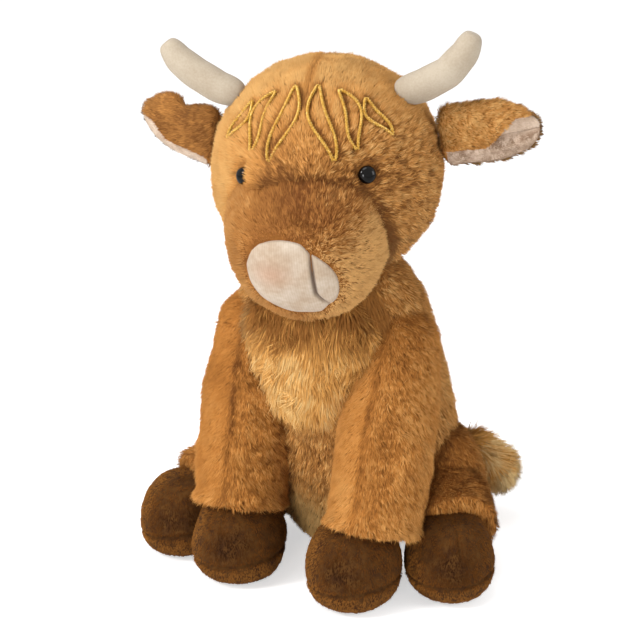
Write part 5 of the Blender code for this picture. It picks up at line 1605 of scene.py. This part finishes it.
def tail_ring(turn):
    """The tail: rings square to a line that goes back and round to the side."""
    share = way(turn)

    def line(share):
        """The tail's middle at a share of its length, from its root, and its radius there."""
        across, back, up, radius = read_shares(TAIL_SHARES, np.clip(share, 0, 1))
        return stack(across * TAIL_REACH, back * TAIL_SWEEP, up * TAIL_SWEEP), radius * TAIL_RADIUS

    centre, radius = line(share)
    along = unit(line(share + 0.05)[0] - line(share - 0.05)[0])
    upward = unit(np.array([0, 0, 1.0]) - along * along[..., 2:3])
    reach = (closing(turn, TAIL_END) * radius)[..., None]
    return TAIL_ROOT + centre, np.cross(along, upward) * reach, upward * reach


tail_cloth = closed_form("tail_cloth", tail_ring, CARAMEL_BACKING, columns=40)
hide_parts("tail")
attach(tail_cloth, "tail")
points, out, turn = sow(tail_ring, TAIL_TUFTS, 141)
keep = ~in_body(points, PRESSED)
points, out, turn = points[keep], out[keep], turn[keep]
centre_on = tail_ring(np.clip(turn + 0.02, 0, 1))[0] - tail_ring(np.clip(turn - 0.02, 0, 1))[0]
tone = 0.45 + 0.25 * lumps(points, 0.010, 142)
tail_pile = tufts("tail_pile", points, out, unit(centre_on), CARAMEL_PILE, tone, 143, length=EAR_PILE_LENGTH)
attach(tail_pile, "tail")
tail_end = tail_ring(np.array([1.0]))[0][0]


def tuft_ring(turn):
    """The tuft's core: rings along the way it hangs, wider towards its end."""
    share = way(turn)
    upward = unit(np.array([0, 0, 1.0]) - TUFT_WAY * TUFT_WAY[2])
    wide, long = TUFT_CORE
    reach = (closing(turn, TUFT_END) * TUFT_RADIUS * wide * (0.75 + 0.5 * share))[..., None]
    centre = tail_end + TUFT_WAY * (TUFT_LENGTH * long * share - TAIL_RADIUS)[..., None]
    return centre, np.cross(TUFT_WAY, upward) * reach, upward * reach


TUFT_BACKING = backing("tail_tuft_backing", "#6b4824", "#8c6434")
tuft_cloth = closed_form("tail_tuft_cloth", tuft_ring, TUFT_BACKING, rows=40, columns=48)
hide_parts("tail_tuft")
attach(tuft_cloth, "tail")
points, out, turn = sow(tuft_ring, TUFT_TUFTS, 144)
# lighter towards the tuft's end: painted light on the end, which hangs down away from the lamps
tone = 0.26 + 0.25 * lumps(points, 0.008, 145) + 0.80 * turn
TUFT_PILE = plush("tail_tuft_long_pile", "#6e4519", "#9a6528", "#dfa355", "#f4d295", 0.2)
tuft_pile = long_pile("tail_tuft_pile", points, out, TUFT_WAY + 0 * points, TUFT_PILE, tone, 147,
                      length=0.0150, width=0.0009, lean=64, curl=2, clump=0.005)
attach(tuft_pile, "tail")

# Studio. A white floor, which glows a little for the camera only, under a white surround, which
# is dimmer as a light than it looks. The key lamp is at the viewer's upper left, a broad one
# above, one low in front and a weak one at the right edge.

FLOOR_SIZE = 6.0
FLOOR_GLOW = 0.55
SURROUND_LIGHT = 0.46
LAMPS = (                # name, place, target, size and power
    ("key_lamp", (-0.85, -1.15, 1.05), (0, -0.03, 0.17), 0.36, 13.5),
    ("top_lamp", (-0.20, -0.35, 1.60), (0, -0.03, 0.17), 0.9, 10),
    ("low_lamp", (0.22, -1.65, 0.28), (0, -0.03, 0.10), 0.45, 11),
    ("edge_lamp", (1.50, 0.15, 0.55), (0, -0.03, 0.12), 0.6, 6),
)
TARGET = Vector((0.008, -0.068, 0.165))
AZIMUTH = math.radians(24)
ELEVATION = math.radians(18)
CAMERA_FAR = 1.0         # from the target
CAMERA_LENS = 98.7
CAMERA_SENSOR = 36.0
FLOOR_WHITE, tree = new_material("white_studio_floor")
shader = add(tree, "BsdfPrincipled", {"Base Color": (0.92, 0.92, 0.92, 1), "Roughness": 0.9})
path = add(tree, "LightPath")
glow = add(tree, "Emission", {"Strength": FLOOR_GLOW})
dark = add(tree, "Emission", {"Strength": 0.0})
shown = add(tree, "MixShader", None,
            {0: path.outputs["Is Camera Ray"], 1: dark.outputs[0], 2: glow.outputs[0]})
both = add(tree, "AddShader", None, {0: shader.outputs[0], 1: shown.outputs[0]})
add(tree, "OutputMaterial", None, {"Surface": both.outputs[0]})
floor_points = np.array([[-1, -1, 0], [1, -1, 0], [1, 1, 0], [-1, 1, 0]]) * FLOOR_SIZE / 2
floor = put_mesh("studio_floor", floor_points, np.array([[0, 1, 2], [0, 2, 3]]), FLOOR_WHITE)

world = bpy.data.worlds.new("white_surround")
bpy.context.scene.world = world
world.use_nodes = True
tree = world.node_tree
tree.nodes.clear()
path = add(tree, "LightPath")
seen = add(tree, "Math", {"operation": "MAXIMUM"},
           {0: path.outputs["Is Camera Ray"], 1: path.outputs["Is Glossy Ray"]})
seen_through = add(tree, "Math", {"operation": "MAXIMUM"},
                   {0: seen.outputs[0], 1: path.outputs["Is Transmission Ray"]})
soft = add(tree, "Background", {"Color": (1, 1, 1, 1), "Strength": SURROUND_LIGHT})
white = add(tree, "Background", {"Color": (1, 1, 1, 1), "Strength": 1.0})
either = add(tree, "MixShader", None, {0: seen_through.outputs[0], 1: soft.outputs[0], 2: white.outputs[0]})
add(tree, "OutputWorld", None, {"Surface": either.outputs[0]})


def lamp(name, place, target, size, power):
    """A square area lamp at a place, facing a target."""
    light = bpy.data.lights.new(name, "AREA")
    light.shape = "SQUARE"
    light.size = size
    light.energy = power
    item = bpy.data.objects.new(name, light)
    bpy.context.scene.collection.objects.link(item)
    item.location = place
    item.rotation_euler = (Vector(target) - Vector(place)).to_track_quat("-Z", "Y").to_euler()


for name, place, target, size, power in LAMPS:
    lamp(name, place, target, size, power)
back_way = Vector((math.sin(AZIMUTH) * math.cos(ELEVATION), -math.cos(AZIMUTH) * math.cos(ELEVATION),
                   math.sin(ELEVATION)))
camera_data = bpy.data.cameras.new("camera")
camera_data.sensor_width = CAMERA_SENSOR
camera_data.lens = CAMERA_LENS
camera = bpy.data.objects.new("camera", camera_data)
bpy.context.scene.collection.objects.link(camera)
camera.location = TARGET + back_way * CAMERA_FAR
camera.rotation_euler = (-back_way).to_track_quat("-Z", "Y").to_euler()
bpy.context.scene.camera = camera
bpy.context.scene.view_settings.view_transform = "Standard"
